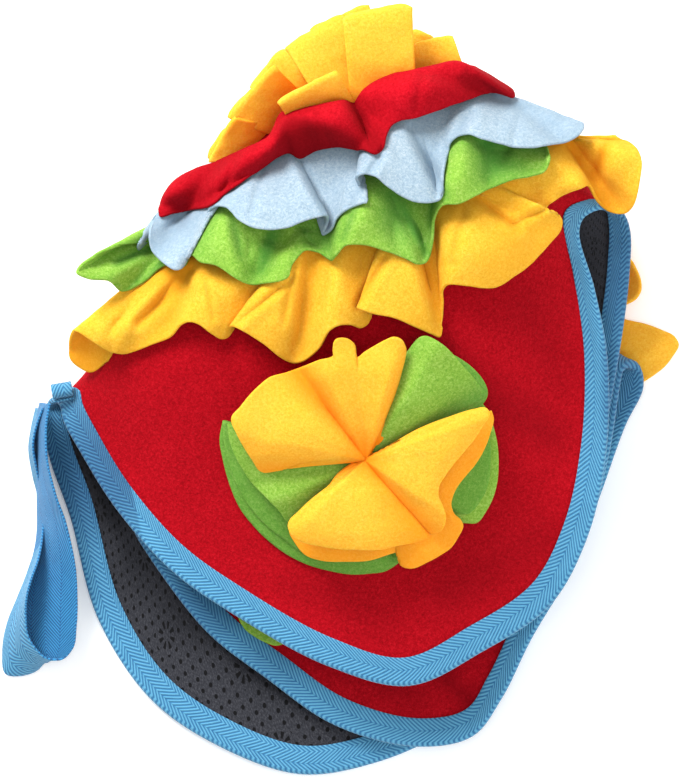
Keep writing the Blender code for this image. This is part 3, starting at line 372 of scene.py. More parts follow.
def ramp(t, source, stops):
    r = t.nodes.new("ShaderNodeValToRGB")
    e = r.color_ramp.elements
    e[0].position, e[0].color = stops[0][0], (*stops[0][1], 1)
    e[1].position, e[1].color = stops[-1][0], (*stops[-1][1], 1)
    for pos, col in stops[1:-1]:
        x = e.new(pos)
        x.color = (*col, 1)
    t.links.new(source, r.inputs[0])
    return r


def math_node(t, op, a, b=None, c=None):
    m = t.nodes.new("ShaderNodeMath")
    m.operation = op
    for i, v in enumerate((a, b, c)):
        if v is None:
            continue
        if isinstance(v, (int, float)):
            m.inputs[i].default_value = v
        else:
            t.links.new(v, m.inputs[i])
    return m.outputs[0]


def fleece(name, deep, mid, light, sheen=0.25, pile=1.0, rough=0.95, patch=0.35, through=0.0, tint=(1.0, 0.5, 0.1), fold=None):
    """Brushed fleece: short pile as fine clumps over soft patches, in three shades."""
    mat, t, b = tree_of(name)
    pos = t.nodes.new("ShaderNodeTexCoord")
    fine = node(t, "ShaderNodeTexNoise", Scale=2300.0, Detail=2.0, Roughness=0.7)
    clump = node(t, "ShaderNodeTexNoise", Scale=820.0, Detail=2.0, Roughness=0.6, Distortion=0.5)
    soft = node(t, "ShaderNodeTexNoise", Scale=38.0, Detail=2.0, Roughness=0.5)
    for n in (fine, clump, soft):
        t.links.new(pos.outputs["Object"], n.inputs["Vector"])
    mix = math_node(t, "ADD", math_node(t, "MULTIPLY", clump.outputs[0], 0.55),
                    math_node(t, "MULTIPLY", fine.outputs[0], 0.45))
    mix = math_node(t, "ADD", math_node(t, "MULTIPLY", mix, 1 - patch), math_node(t, "MULTIPLY", soft.outputs[0], patch))
    r = ramp(t, mix, [(0.34, deep), (0.50, mid), (0.64, light)])
    if fold is None:
        t.links.new(r.outputs[0], b.inputs["Base Color"])
    else:       # painted shade: mixes toward the fold colour by the 'deep' attribute, darker down in the folds
        deep_in = t.nodes.new("ShaderNodeAttribute")
        deep_in.attribute_name = "deep"
        m = t.nodes.new("ShaderNodeMixRGB")
        m.inputs[2].default_value = (*fold, 1)
        t.links.new(deep_in.outputs["Fac"], m.inputs[0])
        t.links.new(r.outputs[0], m.inputs[1])
        t.links.new(m.outputs[0], b.inputs["Base Color"])
    b.inputs["Roughness"].default_value = rough
    b.inputs["Specular IOR Level"].default_value = 0.06
    b.inputs["Sheen Weight"].default_value = sheen
    b.inputs["Sheen Roughness"].default_value = 0.6
    b.inputs["Sheen Tint"].default_value = (*light, 1)
    if through > 0:
        b.inputs["Subsurface Weight"].default_value = through
        b.inputs["Subsurface Radius"].default_value = tint
        b.inputs["Subsurface Scale"].default_value = 0.005
    bump = node(t, "ShaderNodeBump", Strength=0.6 * pile, Distance=0.0006)
    t.links.new(mix, bump.inputs["Height"])
    t.links.new(bump.outputs[0], b.inputs["Normal"])
    return mat


def woven_tape(name, deep, mid, light, pitch=1.35, angle=34.0, width=11.0):
    """Herringbone tape: ribs slanting either way from a spine in the middle of the band; UV in millimetres."""
    mat, t, b = tree_of(name)
    uv = t.nodes.new("ShaderNodeUVMap")
    uv.uv_map = "UVMap"
    sep = t.nodes.new("ShaderNodeSeparateXYZ")
    t.links.new(uv.outputs[0], sep.inputs[0])
    u, v = sep.outputs[0], sep.outputs[1]
    half = math_node(t, "ABSOLUTE", math_node(t, "SUBTRACT", math_node(t, "PINGPONG", v, width), width * 0.5))
    a = math.radians(angle)
    wobble = node(t, "ShaderNodeTexNoise", Scale=260.0, Detail=2.0)
    pos = t.nodes.new("ShaderNodeTexCoord")
    t.links.new(pos.outputs["Object"], wobble.inputs["Vector"])
    phase = math_node(t, "ADD", math_node(t, "MULTIPLY", u, math.sin(a)), math_node(t, "MULTIPLY", half, math.cos(a)))
    phase = math_node(t, "ADD", phase, math_node(t, "MULTIPLY", wobble.outputs[0], 0.25))
    rib = math_node(t, "SINE", math_node(t, "MULTIPLY", phase, 2 * math.pi / pitch))
    across = math_node(t, "SINE", math_node(t, "MULTIPLY", math_node(t, "SUBTRACT", u, math_node(t, "MULTIPLY", half, 0.5)),
                                            2 * math.pi / 0.62))
    h = math_node(t, "ADD", math_node(t, "MULTIPLY", rib, 0.38), math_node(t, "MULTIPLY", across, 0.12))
    h = math_node(t, "ADD", h, 0.5)
    spine = math_node(t, "GREATER_THAN", half, 0.22)
    h = math_node(t, "MULTIPLY", h, math_node(t, "ADD", math_node(t, "MULTIPLY", spine, 0.35), 0.65))
    shade = math_node(t, "ADD", math_node(t, "MULTIPLY", h, 0.8), math_node(t, "MULTIPLY", wobble.outputs[0], 0.2))
    r = ramp(t, shade, [(0.18, deep), (0.42, mid), (0.80, light)])
    # painted shade: the 'deep' attribute multiplies the tape toward dark blue where it lies in the dark of the upper
    # layers
    deep_in = t.nodes.new("ShaderNodeAttribute")
    deep_in.attribute_name = "deep"
    m = t.nodes.new("ShaderNodeMixRGB")
    m.blend_type = "MULTIPLY"
    m.inputs[2].default_value = (0.22, 0.34, 0.46, 1)
    t.links.new(deep_in.outputs["Fac"], m.inputs[0])
    t.links.new(r.outputs[0], m.inputs[1])
    t.links.new(m.outputs[0], b.inputs["Base Color"])
    b.inputs["Roughness"].default_value = 0.72
    b.inputs["Specular IOR Level"].default_value = 0.3
    b.inputs["Sheen Weight"].default_value = 0.15
    bump = node(t, "ShaderNodeBump", Strength=0.8, Distance=0.0005)
    t.links.new(h, bump.inputs["Height"])
    t.links.new(bump.outputs[0], b.inputs["Normal"])
    return mat


def dotted_backing(name):
    """Dark melange weave with small rubber dots in rows and rings of longer dots; UV in millimetres on the flat disc."""
    mat, t, b = tree_of(name)
    uv = t.nodes.new("ShaderNodeUVMap")
    uv.uv_map = "UVMap"
    sep = t.nodes.new("ShaderNodeSeparateXYZ")
    t.links.new(uv.outputs[0], sep.inputs[0])
    u, v = sep.outputs[0], sep.outputs[1]
    melange = node(t, "ShaderNodeTexNoise", Scale=1.1, Detail=4.0, Roughness=0.8)
    stretch = t.nodes.new("ShaderNodeMapping")
    stretch.inputs["Scale"].default_value = (1.3, 0.8, 1.0)
    stretch.inputs["Rotation"].default_value = (0, 0, 0.6)
    t.links.new(uv.outputs[0], stretch.inputs[0])
    t.links.new(stretch.outputs[0], melange.inputs["Vector"])

    def cell(step, shift):
        x = math_node(t, "SUBTRACT", math_node(t, "PINGPONG", math_node(t, "ADD", u, 2000.0 + shift[0]), step / 2), 0.0)
        y = math_node(t, "SUBTRACT", math_node(t, "PINGPONG", math_node(t, "ADD", v, 2000.0 + shift[1]), step / 2), 0.0)
        return x, y

    def length(x, y):
        return math_node(t, "SQRT", math_node(t, "ADD", math_node(t, "MULTIPLY", x, x), math_node(t, "MULTIPLY", y, y)))

    x1, y1 = cell(4.6, (0, 0))
    dot = math_node(t, "LESS_THAN", length(x1, y1), 0.88)
    x2, y2 = cell(29.0, (7, 11))
    r2 = length(x2, y2)
    ang = math_node(t, "ARCTAN2", y2, x2)
    petal = math_node(t, "GREATER_THAN", math_node(t, "COSINE", math_node(t, "MULTIPLY", ang, 8.0)), 0.1)
    ring = math_node(t, "LESS_THAN", math_node(t, "ABSOLUTE", math_node(t, "SUBTRACT", r2, 3.5)), 1.35)
    clear = math_node(t, "GREATER_THAN", r2, 6.6)
    dots = math_node(t, "MAXIMUM", math_node(t, "MULTIPLY", dot, clear), math_node(t, "MULTIPLY", petal, ring))
    base = ramp(t, melange.outputs[0], [(0.34, (0.013, 0.014, 0.018)), (0.50, (0.028, 0.029, 0.036)),
                                        (0.68, (0.068, 0.069, 0.080))])
    mix = t.nodes.new("ShaderNodeMixRGB")
    mix.inputs[2].default_value = (0.0015, 0.0015, 0.0025, 1)
    t.links.new(dots, mix.inputs[0])
    t.links.new(base.outputs[0], mix.inputs[1])
    # painted shade: the 'deep' attribute multiplies the backing toward near black where it lies in the dark of the
    # upper layers
    deep_in = t.nodes.new("ShaderNodeAttribute")
    deep_in.attribute_name = "deep"
    dark = t.nodes.new("ShaderNodeMixRGB")
    dark.blend_type = "MULTIPLY"
    dark.inputs[2].default_value = (0.22, 0.22, 0.24, 1)
    t.links.new(deep_in.outputs["Fac"], dark.inputs[0])
    t.links.new(mix.outputs[0], dark.inputs[1])
    t.links.new(dark.outputs[0], b.inputs["Base Color"])
    b.inputs["Specular IOR Level"].default_value = 0.18
    rough = math_node(t, "SUBTRACT", 0.92, math_node(t, "MULTIPLY", dots, 0.15))
    t.links.new(rough, b.inputs["Roughness"])
    weave = math_node(t, "MULTIPLY", math_node(t, "SINE", math_node(t, "MULTIPLY", u, 2 * math.pi / 0.7)),
                      math_node(t, "SINE", math_node(t, "MULTIPLY", v, 2 * math.pi / 0.7)))
    h = math_node(t, "ADD", math_node(t, "MULTIPLY", weave, 0.15), dots)
    bump = node(t, "ShaderNodeBump", Strength=0.45, Distance=0.0004)
    t.links.new(h, bump.inputs["Height"])
    t.links.new(bump.outputs[0], b.inputs["Normal"])
    return mat


# the fold colour of each fleece is the painted shade down in its folds
RED = fleece("red_fleece", (0.22, 0.0012, 0.004), (0.35, 0.0022, 0.0075), (0.47, 0.006, 0.014), 0.03, 1.6, patch=0.06,
             fold=(0.17, 0.001, 0.004))
RUFFLE_RED = fleece("ruffle_red", (0.28, 0.0012, 0.005), (0.41, 0.003, 0.010), (0.52, 0.008, 0.018), 0.03, 1.0, patch=0.08,
                    fold=(0.16, 0.0008, 0.003))
YELLOW = fleece("yellow_fleece", (0.78, 0.34, 0.020), (0.84, 0.425, 0.036), (0.88, 0.51, 0.066), 0.04, 0.9, patch=0.10,
                through=0.3, tint=(1.0, 0.42, 0.06), fold=(0.90, 0.235, 0.006))
RUFFLE_YELLOW = fleece("ruffle_yellow_fleece", (0.67, 0.32, 0.018), (0.77, 0.415, 0.032), (0.86, 0.51, 0.064), 0.04, 1.0,
                       patch=0.10, through=0.3, tint=(1.0, 0.5, 0.09), fold=(0.66, 0.25, 0.008))
GREEN = fleece("green_fleece", (0.12, 0.29, 0.026), (0.22, 0.40, 0.050), (0.34, 0.52, 0.11), 0.05, 1.4, patch=0.10,
               through=0.15, tint=(0.5, 1.0, 0.2), fold=(0.035, 0.19, 0.03))
LIGHT_BLUE = fleece("light_blue_fleece", (0.20, 0.29, 0.37), (0.30, 0.39, 0.46), (0.42, 0.50, 0.55), 0.05, 1.5, patch=0.10,
                    through=0.15, tint=(0.5, 0.7, 1.0), fold=(0.21, 0.30, 0.385))
TAPE = woven_tape("blue_tape", (0.016, 0.12, 0.28), (0.046, 0.235, 0.42), (0.115, 0.37, 0.57))
# painted shade: a darker copy of the blue tape, laid on one face of the hanging tape
TAPE_SHADED_SIDE = woven_tape("blue_tape_painted_shade", (0.006, 0.070, 0.20), (0.014, 0.16, 0.38), (0.034, 0.26, 0.52), pitch=0.9)
BACKING = dotted_backing("backing_fabric")


# ---- mesh helpers ----
def object_from(name, verts_mm, faces, mat, smooth=True):
    me = bpy.data.meshes.new(name)
    me.from_pydata(np.asarray(verts_mm, float) * MM, [], [tuple(int(i) for i in f) for f in faces])
    me.update()
    me.materials.append(mat)
    if smooth:
        me.shade_smooth()
    ob = bpy.data.objects.new(name, me)
    bpy.context.scene.collection.objects.link(ob)
    return ob


def mesh_normals(verts, tris):
    a, b, c = verts[tris[:, 0]], verts[tris[:, 1]], verts[tris[:, 2]]
    f = np.cross(b - a, c - a)
    n = np.zeros_like(verts)
    for i in range(3):
        np.add.at(n, tris[:, i], f)
    return n / np.maximum(np.linalg.norm(n, axis=1, keepdims=True), 1e-12)


def rumple(p, amount, size, seed=0.0):
    """A soft random height at every point."""
    q = np.asarray(p, float).reshape(-1, 3)
    h = np.array([noise.noise(Vector((a / size + seed, b / size - seed, c / size))) for a, b, c in q])
    return (h * amount).reshape(np.asarray(p).shape[:-1])


def thin_grid(name, mid, thick, mat, wrap=False, uv=None, n=None, reverse=None, deep=None):
    """A thin closed sheet round a grid of points, with rounded free edges. The grid runs rows by columns."""
    rows, cols = mid.shape[:2]
    if n is None:
        n = grid_normals(mid, wrap)
    half = np.full((rows, cols, 1), thick / 2)
    front, back = mid + n * half, mid - n * half
    # section of the free edge: a half round between front and back
    def cap(line, nline, outward):
        k = np.radians([45.0, 0.0, -45.0])
        return [line + nline * (math.sin(a) * thick / 2) + outward * (math.cos(a) * thick / 2) for a in k]
    o1 = mid[-1] - mid[-2]
    o1 /= np.maximum(np.linalg.norm(o1, axis=-1, keepdims=True), 1e-9)
    o0 = mid[0] - mid[1]
    o0 /= np.maximum(np.linalg.norm(o0, axis=-1, keepdims=True), 1e-9)
    loop = [front[i] for i in range(rows)] + cap(mid[-1], n[-1], o1)
    loop += [back[i] for i in range(rows - 1, -1, -1)] + cap(mid[0], -n[0], o0)
    v = np.array(loop)
    m = len(v)
    verts = v.reshape(-1, 3)
    faces = []
    last = cols if wrap else cols - 1
    for i in range(m):
        k = (i + 1) % m
        for j in range(last):
            l = (j + 1) % cols
            faces.append((i * cols + j, i * cols + l, k * cols + l, k * cols + j))
    if not wrap:
        r = rows
        for j in (0, cols - 1):
            for i in range(rows - 1):
                a, b = i * cols + j, (i + 1) * cols + j
                c, d = (2 * r + 2 - i - 1) * cols + j, (2 * r + 2 - i) * cols + j
                faces.append((a, b, c, d) if j == 0 else (a, d, c, b))
            # round ends of the section
            ring = [(r - 1) * cols + j, r * cols + j, (r + 1) * cols + j, (r + 2) * cols + j, (r + 3) * cols + j]
            faces.append(tuple(ring) if j == 0 else tuple(reversed(ring)))
            ring = [(2 * r + 2) * cols + j, (2 * r + 3) * cols + j, (2 * r + 4) * cols + j, (2 * r + 5) * cols + j, j]
            faces.append(tuple(ring) if j == 0 else tuple(reversed(ring)))
    ob = object_from(name, verts, faces, mat)
    if deep is not None:
        order = list(range(rows)) + [rows - 1] * 3 + list(range(rows - 1, -1, -1)) + [0] * 3
        values = np.clip(deep[order].ravel(), 0, 1).astype(np.float32)
        ob.data.attributes.new("deep", "FLOAT", "POINT").data.foreach_set("value", values)
    if reverse is not None:
        ob.data.materials.append(reverse)
        for i in range(rows + 3, 2 * rows + 3):
            for j in range(last):
                ob.data.polygons[i * last + j].material_index = 1
    bm = bmesh.new()
    bm.from_mesh(ob.data)
    bmesh.ops.recalc_face_normals(bm, faces=bm.faces)
    if uv is not None:
        layer = bm.loops.layers.uv.new("UVMap")
        order = list(range(rows)) + [rows - 1] * 3 + list(range(rows - 1, -1, -1)) + [0] * 3
        bm.verts.ensure_lookup_table()
        span = uv[0, -1, 0] - uv[0, 0, 0]
        for f in bm.faces:
            idx = [l.vert.index for l in f.loops]
            js = [i % cols for i in idx]
            seam = wrap and max(js) - min(js) > 1
            for l, i, j in zip(f.loops, idx, js):
                u, w = uv[order[i // cols], j]
                if seam and j == 0:
                    u = u + span * cols / (cols - 1)
                l[layer].uv = (u, w)
    bm.to_mesh(ob.data)
    bm.free()
    ob.data.shade_smooth()
    return ob


# ---- the mat ----
def dense_columns(step=2.6):
    ts = []
    k = np.concatenate([KNOTS, [PERIOD]])
    pts = hermite(KNOTS, RIM_XYZ, k, PERIOD) * [GRID / MM, GRID / MM, 1.0]
    for i in range(len(KNOTS)):
        n = max(3, int(round(np.linalg.norm(pts[i + 1] - pts[i]) / step)))
        ts += [k[i] + (k[i + 1] - k[i]) * j / n for j in range(n)]
    return np.array(ts)


def thin_at(ts):
    return np.interp(ts, np.concatenate([KNOTS, [PERIOD]]), [PINCH.get(r[0], 1.0) for r in RIM] + [1.0])


TS = dense_columns()
MAT_SHARES = np.linspace(0.0, 1.0, 40)[1:]
phi_cols = phi_of(TS)
hub_of = np.concatenate([[0], np.cumsum(np.abs(np.diff(phi_cols)) > 0.05)])
hubs = phi_cols[np.concatenate([[True], np.diff(hub_of) > 0])]


def cut_share(ts, back_off):
    """rho at a distance back from the rim, along every spoke."""
    walk = np.linspace(1.0, RHO_TUCK + 0.02, 121)
    line = np.array([mat_point(ts, np.full_like(ts, w)) for w in walk])
    far = np.concatenate([np.zeros((1, len(ts))), np.cumsum(np.linalg.norm(np.diff(line, axis=0), axis=2), axis=0)])
    return np.array([np.interp(back_off, far[:, j], walk) for j in range(len(ts))])


CUT = cut_share(TS, TAPE_THICK + 0.5)
ring_rhos = [0.03, 0.07, 0.11, 0.15, 0.19, 0.23, 0.27, 0.31, 0.35, 0.39, 0.42, 0.45, 0.475, 0.50]
H, C = len(hubs), len(TS)
inner_p = np.array([ring_point(hubs, np.full_like(hubs, r)) for r in ring_rhos])
outer_p = np.array([mat_point(TS, RHO_TUCK + (CUT - RHO_TUCK) * f) for f in MAT_SHARES])
flat_u = np.cumsum(np.concatenate([[0], np.linalg.norm(np.diff(outer_p[-1], axis=0), axis=1)]))
flat_angle = flat_u / (flat_u[-1] + np.linalg.norm(outer_p[-1][0] - outer_p[-1][-1])) * 2 * math.pi
tip = ring_point(0.0, 0.0).reshape(1, 3)
MP = np.concatenate([tip, inner_p.reshape(-1, 3), outer_p.reshape(-1, 3)])
R_FLAT = 262.0
out_rho = RHO_TUCK + (CUT[None, :] - RHO_TUCK) * MAT_SHARES[:, None]
MAT_UV = np.concatenate([
    [[0, 0]],
    np.array([[(R_FLAT * r * math.cos(a), R_FLAT * r * math.sin(a)) for a in
               [flat_angle[np.argmax(hub_of == h)] for h in range(H)]] for r in ring_rhos]).reshape(-1, 2),
    np.stack([R_FLAT * out_rho * np.cos(flat_angle), R_FLAT * out_rho * np.sin(flat_angle)], axis=-1).reshape(-1, 2)])
quads = [(0, 1 + (j + 1) % H, 1 + j) for j in range(H)]
for i in range(len(ring_rhos) - 1):
    for j in range(H):
        a, b = 1 + i * H + j, 1 + i * H + (j + 1) % H
        quads.append((a, b, b + H, a + H))
o_start, last_ring = 1 + len(ring_rhos) * H, 1 + (len(ring_rhos) - 1) * H
for j in range(C):
    k = (j + 1) % C
    a, b = last_ring + hub_of[j], last_ring + hub_of[k]
    quads.append((a, b, o_start + k, o_start + j) if a != b else (a, o_start + k, o_start + j))
for i in range(len(MAT_SHARES) - 1):
    for j in range(C):
        a, b = o_start + i * C + j, o_start + i * C + (j + 1) % C
        quads.append((a, b, b + C, a + C))
tri_list = []
for q in quads:
    tri_list.append((q[0], q[1], q[2]))
    if len(q) == 4:
        tri_list.append((q[0], q[2], q[3]))
tri_list = np.array(tri_list)
MN = mesh_normals(MP, tri_list)
want = mat_normal(TS[20:21], np.array([0.7]))
if MN[o_start + 20 * C // C + 15 * C + 20].dot(want[0]) < 0:
    MN = -MN
flat_floor = MP[:, 2] <= RED_OUT + 1e-6
MN[flat_floor] = (0, 0, -1)
thin_cols = thin_at(TS)
SQ = np.ones(len(MP))
SQ[o_start:] = np.tile(thin_cols, len(MAT_SHARES))
near_tuck = np.clip(np.abs((hubs + 180) % 360 - 180) / 16.0, 0.25, 1.0)
for i, r in enumerate(ring_rhos):
    SQ[1 + i * H:1 + (i + 1) * H] = 1 - (1 - near_tuck) * smooth_step(r, 0.38, 0.50)

# soft dents and creases pressed into the fleece: x, y, length along, width across (grid), angle, depth mm, sector z
DENTS = [
    (556, 361, 22, 12, 58, 1.6, 30, 60), (520, 330, 30, 16, 20, 0.9, 30, 60), (465, 690, 24, 7, 130, 1.3, 5, 20),
    (150, 440, 40, 18, -50, 0.8, 20, 70), (300, 600, 46, 14, 10, 0.7, 30, 60), (470, 600, 40, 14, -35, 0.8, 30, 60),
    (100, 560, 42, 16, 60, 1.2, 1, 6), (200, 690, 48, 16, 25, 1.2, 1, 6), (300, 730, 44, 14, 5, 1.0, 1, 6),
]


def pressed(p):
    px = p[:, 0] / (GRID / MM) + PLAN_CENTRE[0]
    py = PLAN_CENTRE[1] - p[:, 1] / (GRID / MM)
    d = np.zeros(len(p))
    for x, y, a, b, ang, depth, z0, z1 in DENTS:
        c, s = math.cos(math.radians(ang)), math.sin(math.radians(ang))
        u = ((px - x) * c + (py - y) * s) / a
        v = (-(px - x) * s + (py - y) * c) / b
        d += depth * np.exp(-(u * u + v * v)) * ((p[:, 2] > z0) & (p[:, 2] < z1))
    return d


soft_wave = rumple(MP, 0.8, 34.0, 3.0) + rumple(MP, 0.35, 13.0, 8.0)
edge_fade = np.ones(len(MP))
edge_fade[o_start:] = np.repeat(np.clip((1 - MAT_SHARES) / 0.25, 0, 1), C)
press = pressed(MP)
face_up = MN[:, 2] > 0.2
MIDDLE = MP.copy()
MIDDLE[:, 2] += (soft_wave * edge_fade - press) * np.where(face_up, 1.0, 0.0) * (SQ > 0.9)


# Where the lower layers lie in the dark of the upper ones: x, y, radius on the grid, amount, highest z
SHADE = [(100, 470, 75, 0.85, 36), (150, 560, 50, 0.5, 36), (200, 600, 50, 0.6, 36), (270, 655, 45, 0.3, 36),
         (616, 270, 85, 0.75, 60), (618, 380, 60, 0.6, 60), (596, 270, 60, 0.5, 40), (70, 420, 30, 0.4, 40)]


def shaded(p, x_least=None):
    px = p[..., 0] / (GRID / MM) + PLAN_CENTRE[0]
    py = PLAN_CENTRE[1] - p[..., 1] / (GRID / MM)
    d = np.zeros(px.shape)
    for x, y, r, a, z in SHADE:
        f = a * np.exp(-(((px - x) ** 2 + (py - y) ** 2) / (r * r)) ** 1.5) * (p[..., 2] < z)
        if x > 600:
            f = f * smooth_step(px, 598, 606)
        d = np.maximum(d, f)
    return d


# painted shade along soft valleys of the red field: ends, reach and depth of the painted shade
MAT_FOLD_SHADE = [(428, 350, 548, 432, 22, 0.50), (452, 592, 545, 540, 26, 0.32), (436, 666, 484, 718, 11, 0.65),
             (300, 590, 380, 622, 20, 0.22), (520, 300, 560, 380, 24, 0.25), (385, 690, 420, 702, 10, 0.30)]


def painted_fold_shade(p):
    px = p[..., 0] / (GRID / MM) + PLAN_CENTRE[0]
    py = PLAN_CENTRE[1] - p[..., 1] / (GRID / MM)
    d = np.zeros(px.shape)
    for x0, y0, x1, y1, r, a in MAT_FOLD_SHADE:
        t = np.clip(((px - x0) * (x1 - x0) + (py - y0) * (y1 - y0)) / ((x1 - x0) ** 2 + (y1 - y0) ** 2), 0, 1)
        q = np.hypot(px - x0 - t * (x1 - x0), py - y0 - t * (y1 - y0)) / r
        d = np.maximum(d, a * np.exp(-q * q))
    return d


def mat_sheet(name, hi, lo, mat):
    """The closed sheet between two offsets of the mat's middle surface."""
    a, b = MIDDLE + MN * (SQ * hi)[:, None], MIDDLE + MN * (SQ * lo)[:, None]
    a[:, 2], b[:, 2] = np.maximum(a[:, 2], 0.0), np.maximum(b[:, 2], 0.0)
    m = len(MP)
    faces = list(quads) + [tuple(m + i for i in reversed(q)) for q in quads]
    rim = o_start + (len(MAT_SHARES) - 1) * C + np.arange(C)
    for x, y in zip(rim, np.roll(rim, -1)):
        faces.append((x, y, m + y, m + x))
    ob = object_from(name, np.concatenate([a, b]), faces, mat)
    # painted shade: the backing gets the shade of the upper layers, the red fleece the painted shade of its soft
    # valleys
    values = shaded(MIDDLE) if mat is BACKING else painted_fold_shade(MIDDLE)
    values = np.concatenate([values, values]).astype(np.float32)
    ob.data.attributes.new("deep", "FLOAT", "POINT").data.foreach_set("value", values)
    layer = ob.data.uv_layers.new(name="UVMap")
    uv = np.concatenate([MAT_UV, MAT_UV])
    idx = np.empty(len(ob.data.loops), int)
    ob.data.loops.foreach_get("vertex_index", idx)
    layer.data.foreach_set("uv", uv[idx].astype(np.float32).ravel())
    bm = bmesh.new()
    bm.from_mesh(ob.data)
    bmesh.ops.recalc_face_normals(bm, faces=bm.faces)
    bm.to_mesh(ob.data)
    bm.free()
    ob.data.shade_smooth()
    return ob


mat_top = mat_sheet("mat_fleece", RED_OUT, SHEET_GAP / 2, RED)
mat_back = mat_sheet("mat_underside", -SHEET_GAP / 2, -BACK_OUT, BACKING)


# ---- binding ----
def binding():
    """The folded tape: over the fleece, round the cut edge and back under the backing, with a soft roll at the edge."""
    width = TAPE_COVER * (0.3 + 0.7 * thin_cols) + TAPE_THICK + 0.5
    rows = []
    marks = []
    cover_steps = np.linspace(0.0, 1.0, 7)
    lines = {}
    for f in cover_steps:
        back = width * (1 - f) + (TAPE_THICK + 0.5) * f
        lines[f] = mat_point(TS, np.array([1.0] * C) * 0 + rho_back(back))
    edge_line = lines[1.0]
    along = np.roll(edge_line, -1, axis=0) - np.roll(edge_line, 1, axis=0)
    along /= np.linalg.norm(along, axis=1, keepdims=True)
    rim_n = MN[o_start + (len(MAT_SHARES) - 1) * C:]
    ends = mat_point(TS, np.ones(C)) - mat_point(TS, np.full(C, 0.995))
    side = np.cross(along, rim_n)
    side *= np.sign((side * ends).sum(axis=1, keepdims=True))
    side /= np.linalg.norm(side, axis=1, keepdims=True)
    def normal_at(f):
        i = np.clip(((1 - 0.0) * 0 + 1 - (width * (1 - f)) / 120.0) * (len(MAT_SHARES) - 1), 0, len(MAT_SHARES) - 1)
        return rim_n
    lift = SHEET_GAP + TAPE_THICK / 2
    cross = []
    for f in cover_steps:
        puff = 0.25 * math.sin(math.pi * f)
        cross.append((lines[f] + rim_n * (RED_OUT * thin_cols)[:, None] + rim_n * (lift + puff), f * 11.0))
    for a in (60.0, 30.0, 0.0, -30.0, -60.0):
        s, c = math.sin(math.radians(a)), math.cos(math.radians(a))
        h = np.where(s > 0, RED_OUT * thin_cols + lift, BACK_OUT * thin_cols + lift)
        cross.append((edge_line + side * (0.45 + 1.15 * c) + rim_n * (h * s * 1.0)[:, None] * 0.98, 11.0 + (60 - a) / 60.0 * 1.2))
    for f in cover_steps[::-1]:
        puff = 0.25 * math.sin(math.pi * f)
        cross.append((lines[f] - rim_n * (BACK_OUT * thin_cols)[:, None] - rim_n * (lift + puff), 13.4 + (1 - f) * 11.0))
    pts = np.array([c[0] for c in cross])
    pts[..., 2] = np.maximum(pts[..., 2], TAPE_THICK / 2)
    u = np.concatenate([[0], np.cumsum(np.linalg.norm(np.diff(edge_line, axis=0), axis=1))])
    uv = np.stack([np.broadcast_to(u, pts.shape[:2]), np.broadcast_to(np.array([c[1] for c in cross])[:, None], pts.shape[:2])],
                  axis=-1)
    # painted shade on the binding from the SHADE table, where the lower layers lie in the dark of the upper ones
    return thin_grid("rim_binding", pts, TAPE_THICK, TAPE, wrap=True, uv=uv, deep=shaded(pts))


WALK = np.linspace(1.0, RHO_TUCK + 0.02, 121)
WALK_LINE = np.array([mat_point(TS, np.full_like(TS, w)) for w in WALK])
WALK_FAR = np.concatenate([np.zeros((1, C)), np.cumsum(np.linalg.norm(np.diff(WALK_LINE, axis=0), axis=2), axis=0)])


def rho_back(back):
    back = np.broadcast_to(back, (C,))
    return np.array([np.interp(back[j], WALK_FAR[:, j], WALK) for j in range(C)])


rim_binding = binding()

# ---- heights of the front, for what lies on it ----
CELL = 2.0
GX, GY = 360, 410
HEIGHT = np.full((GX, GY), -1.0)
front_cols = (phi_cols > 0) & (np.arange(C) < np.argmax(TS >= KNOTS[14]))
fp = (MIDDLE + MN * (SQ * RED_OUT)[:, None])


def splat(pts):
    px = pts[..., 0] / (GRID / MM) + PLAN_CENTRE[0]
    py = PLAN_CENTRE[1] - pts[..., 1] / (GRID / MM)
    i = np.clip(np.round(px / CELL).astype(int), 0, GX - 1)
    j = np.clip(np.round(py / CELL).astype(int), 0, GY - 1)
    np.maximum.at(HEIGHT, (i.ravel(), j.ravel()), pts[..., 2].ravel())


for rr in np.linspace(0.02, 1.0, 260):
    tt = np.linspace(KNOTS[0], KNOTS[14], 900)
    q = mat_point(tt, np.full_like(tt, rr))
    splat(q + np.array([0, 0, RED_OUT]))
    if rr < RHO_TUCK:
        ph = np.linspace(0, 180, 500)
        splat(ring_point(ph, np.full_like(ph, rr)) + np.array([0, 0, RED_OUT]))


def filled(field, known):
    """The field with every unknown cell given the mean of its known neighbours, working outward."""
    f, k = np.where(known, field, 0.0), known.copy()
    while not k.all():
        gs, ws = np.zeros_like(f), np.zeros_like(f)
        for a, b in ((1, 0), (-1, 0), (0, 1), (0, -1), (1, 1), (1, -1), (-1, 1), (-1, -1)):
            gs += np.roll(np.roll(np.where(k, f, 0.0), a, 0), b, 1)
            ws += np.roll(np.roll(k.astype(float), a, 0), b, 1)
        new = (~k) & (ws > 0)
        f[new] = gs[new] / ws[new]
        k |= new
    return f


def read_field(field, x, y):
    x, y = np.asarray(x, float) / CELL, np.asarray(y, float) / CELL
    x, y = np.clip(x, 0, GX - 1.001), np.clip(y, 0, GY - 1.001)
    i, j = np.floor(x).astype(int), np.floor(y).astype(int)
    u, v = x - i, y - j
    return (field[i, j] * (1 - u) * (1 - v) + field[i + 1, j] * u * (1 - v) + field[i, j + 1] * (1 - u) * v
            + field[i + 1, j + 1] * u * v)


def soften(field, times=1):
    for _ in range(times):
        field = (np.roll(field, 1, 0) + 2 * field + np.roll(field, -1, 0)) / 4
        field = (np.roll(field, 1, 1) + 2 * field + np.roll(field, -1, 1)) / 4
    return field


BASE = soften(filled(HEIGHT, HEIGHT > 0), 2)
LAYER = BASE.copy()


def base_z(x, y):
    """Top of the front cloth at a plan place, or near it outside the cloth."""
    return read_field(BASE, x, y)


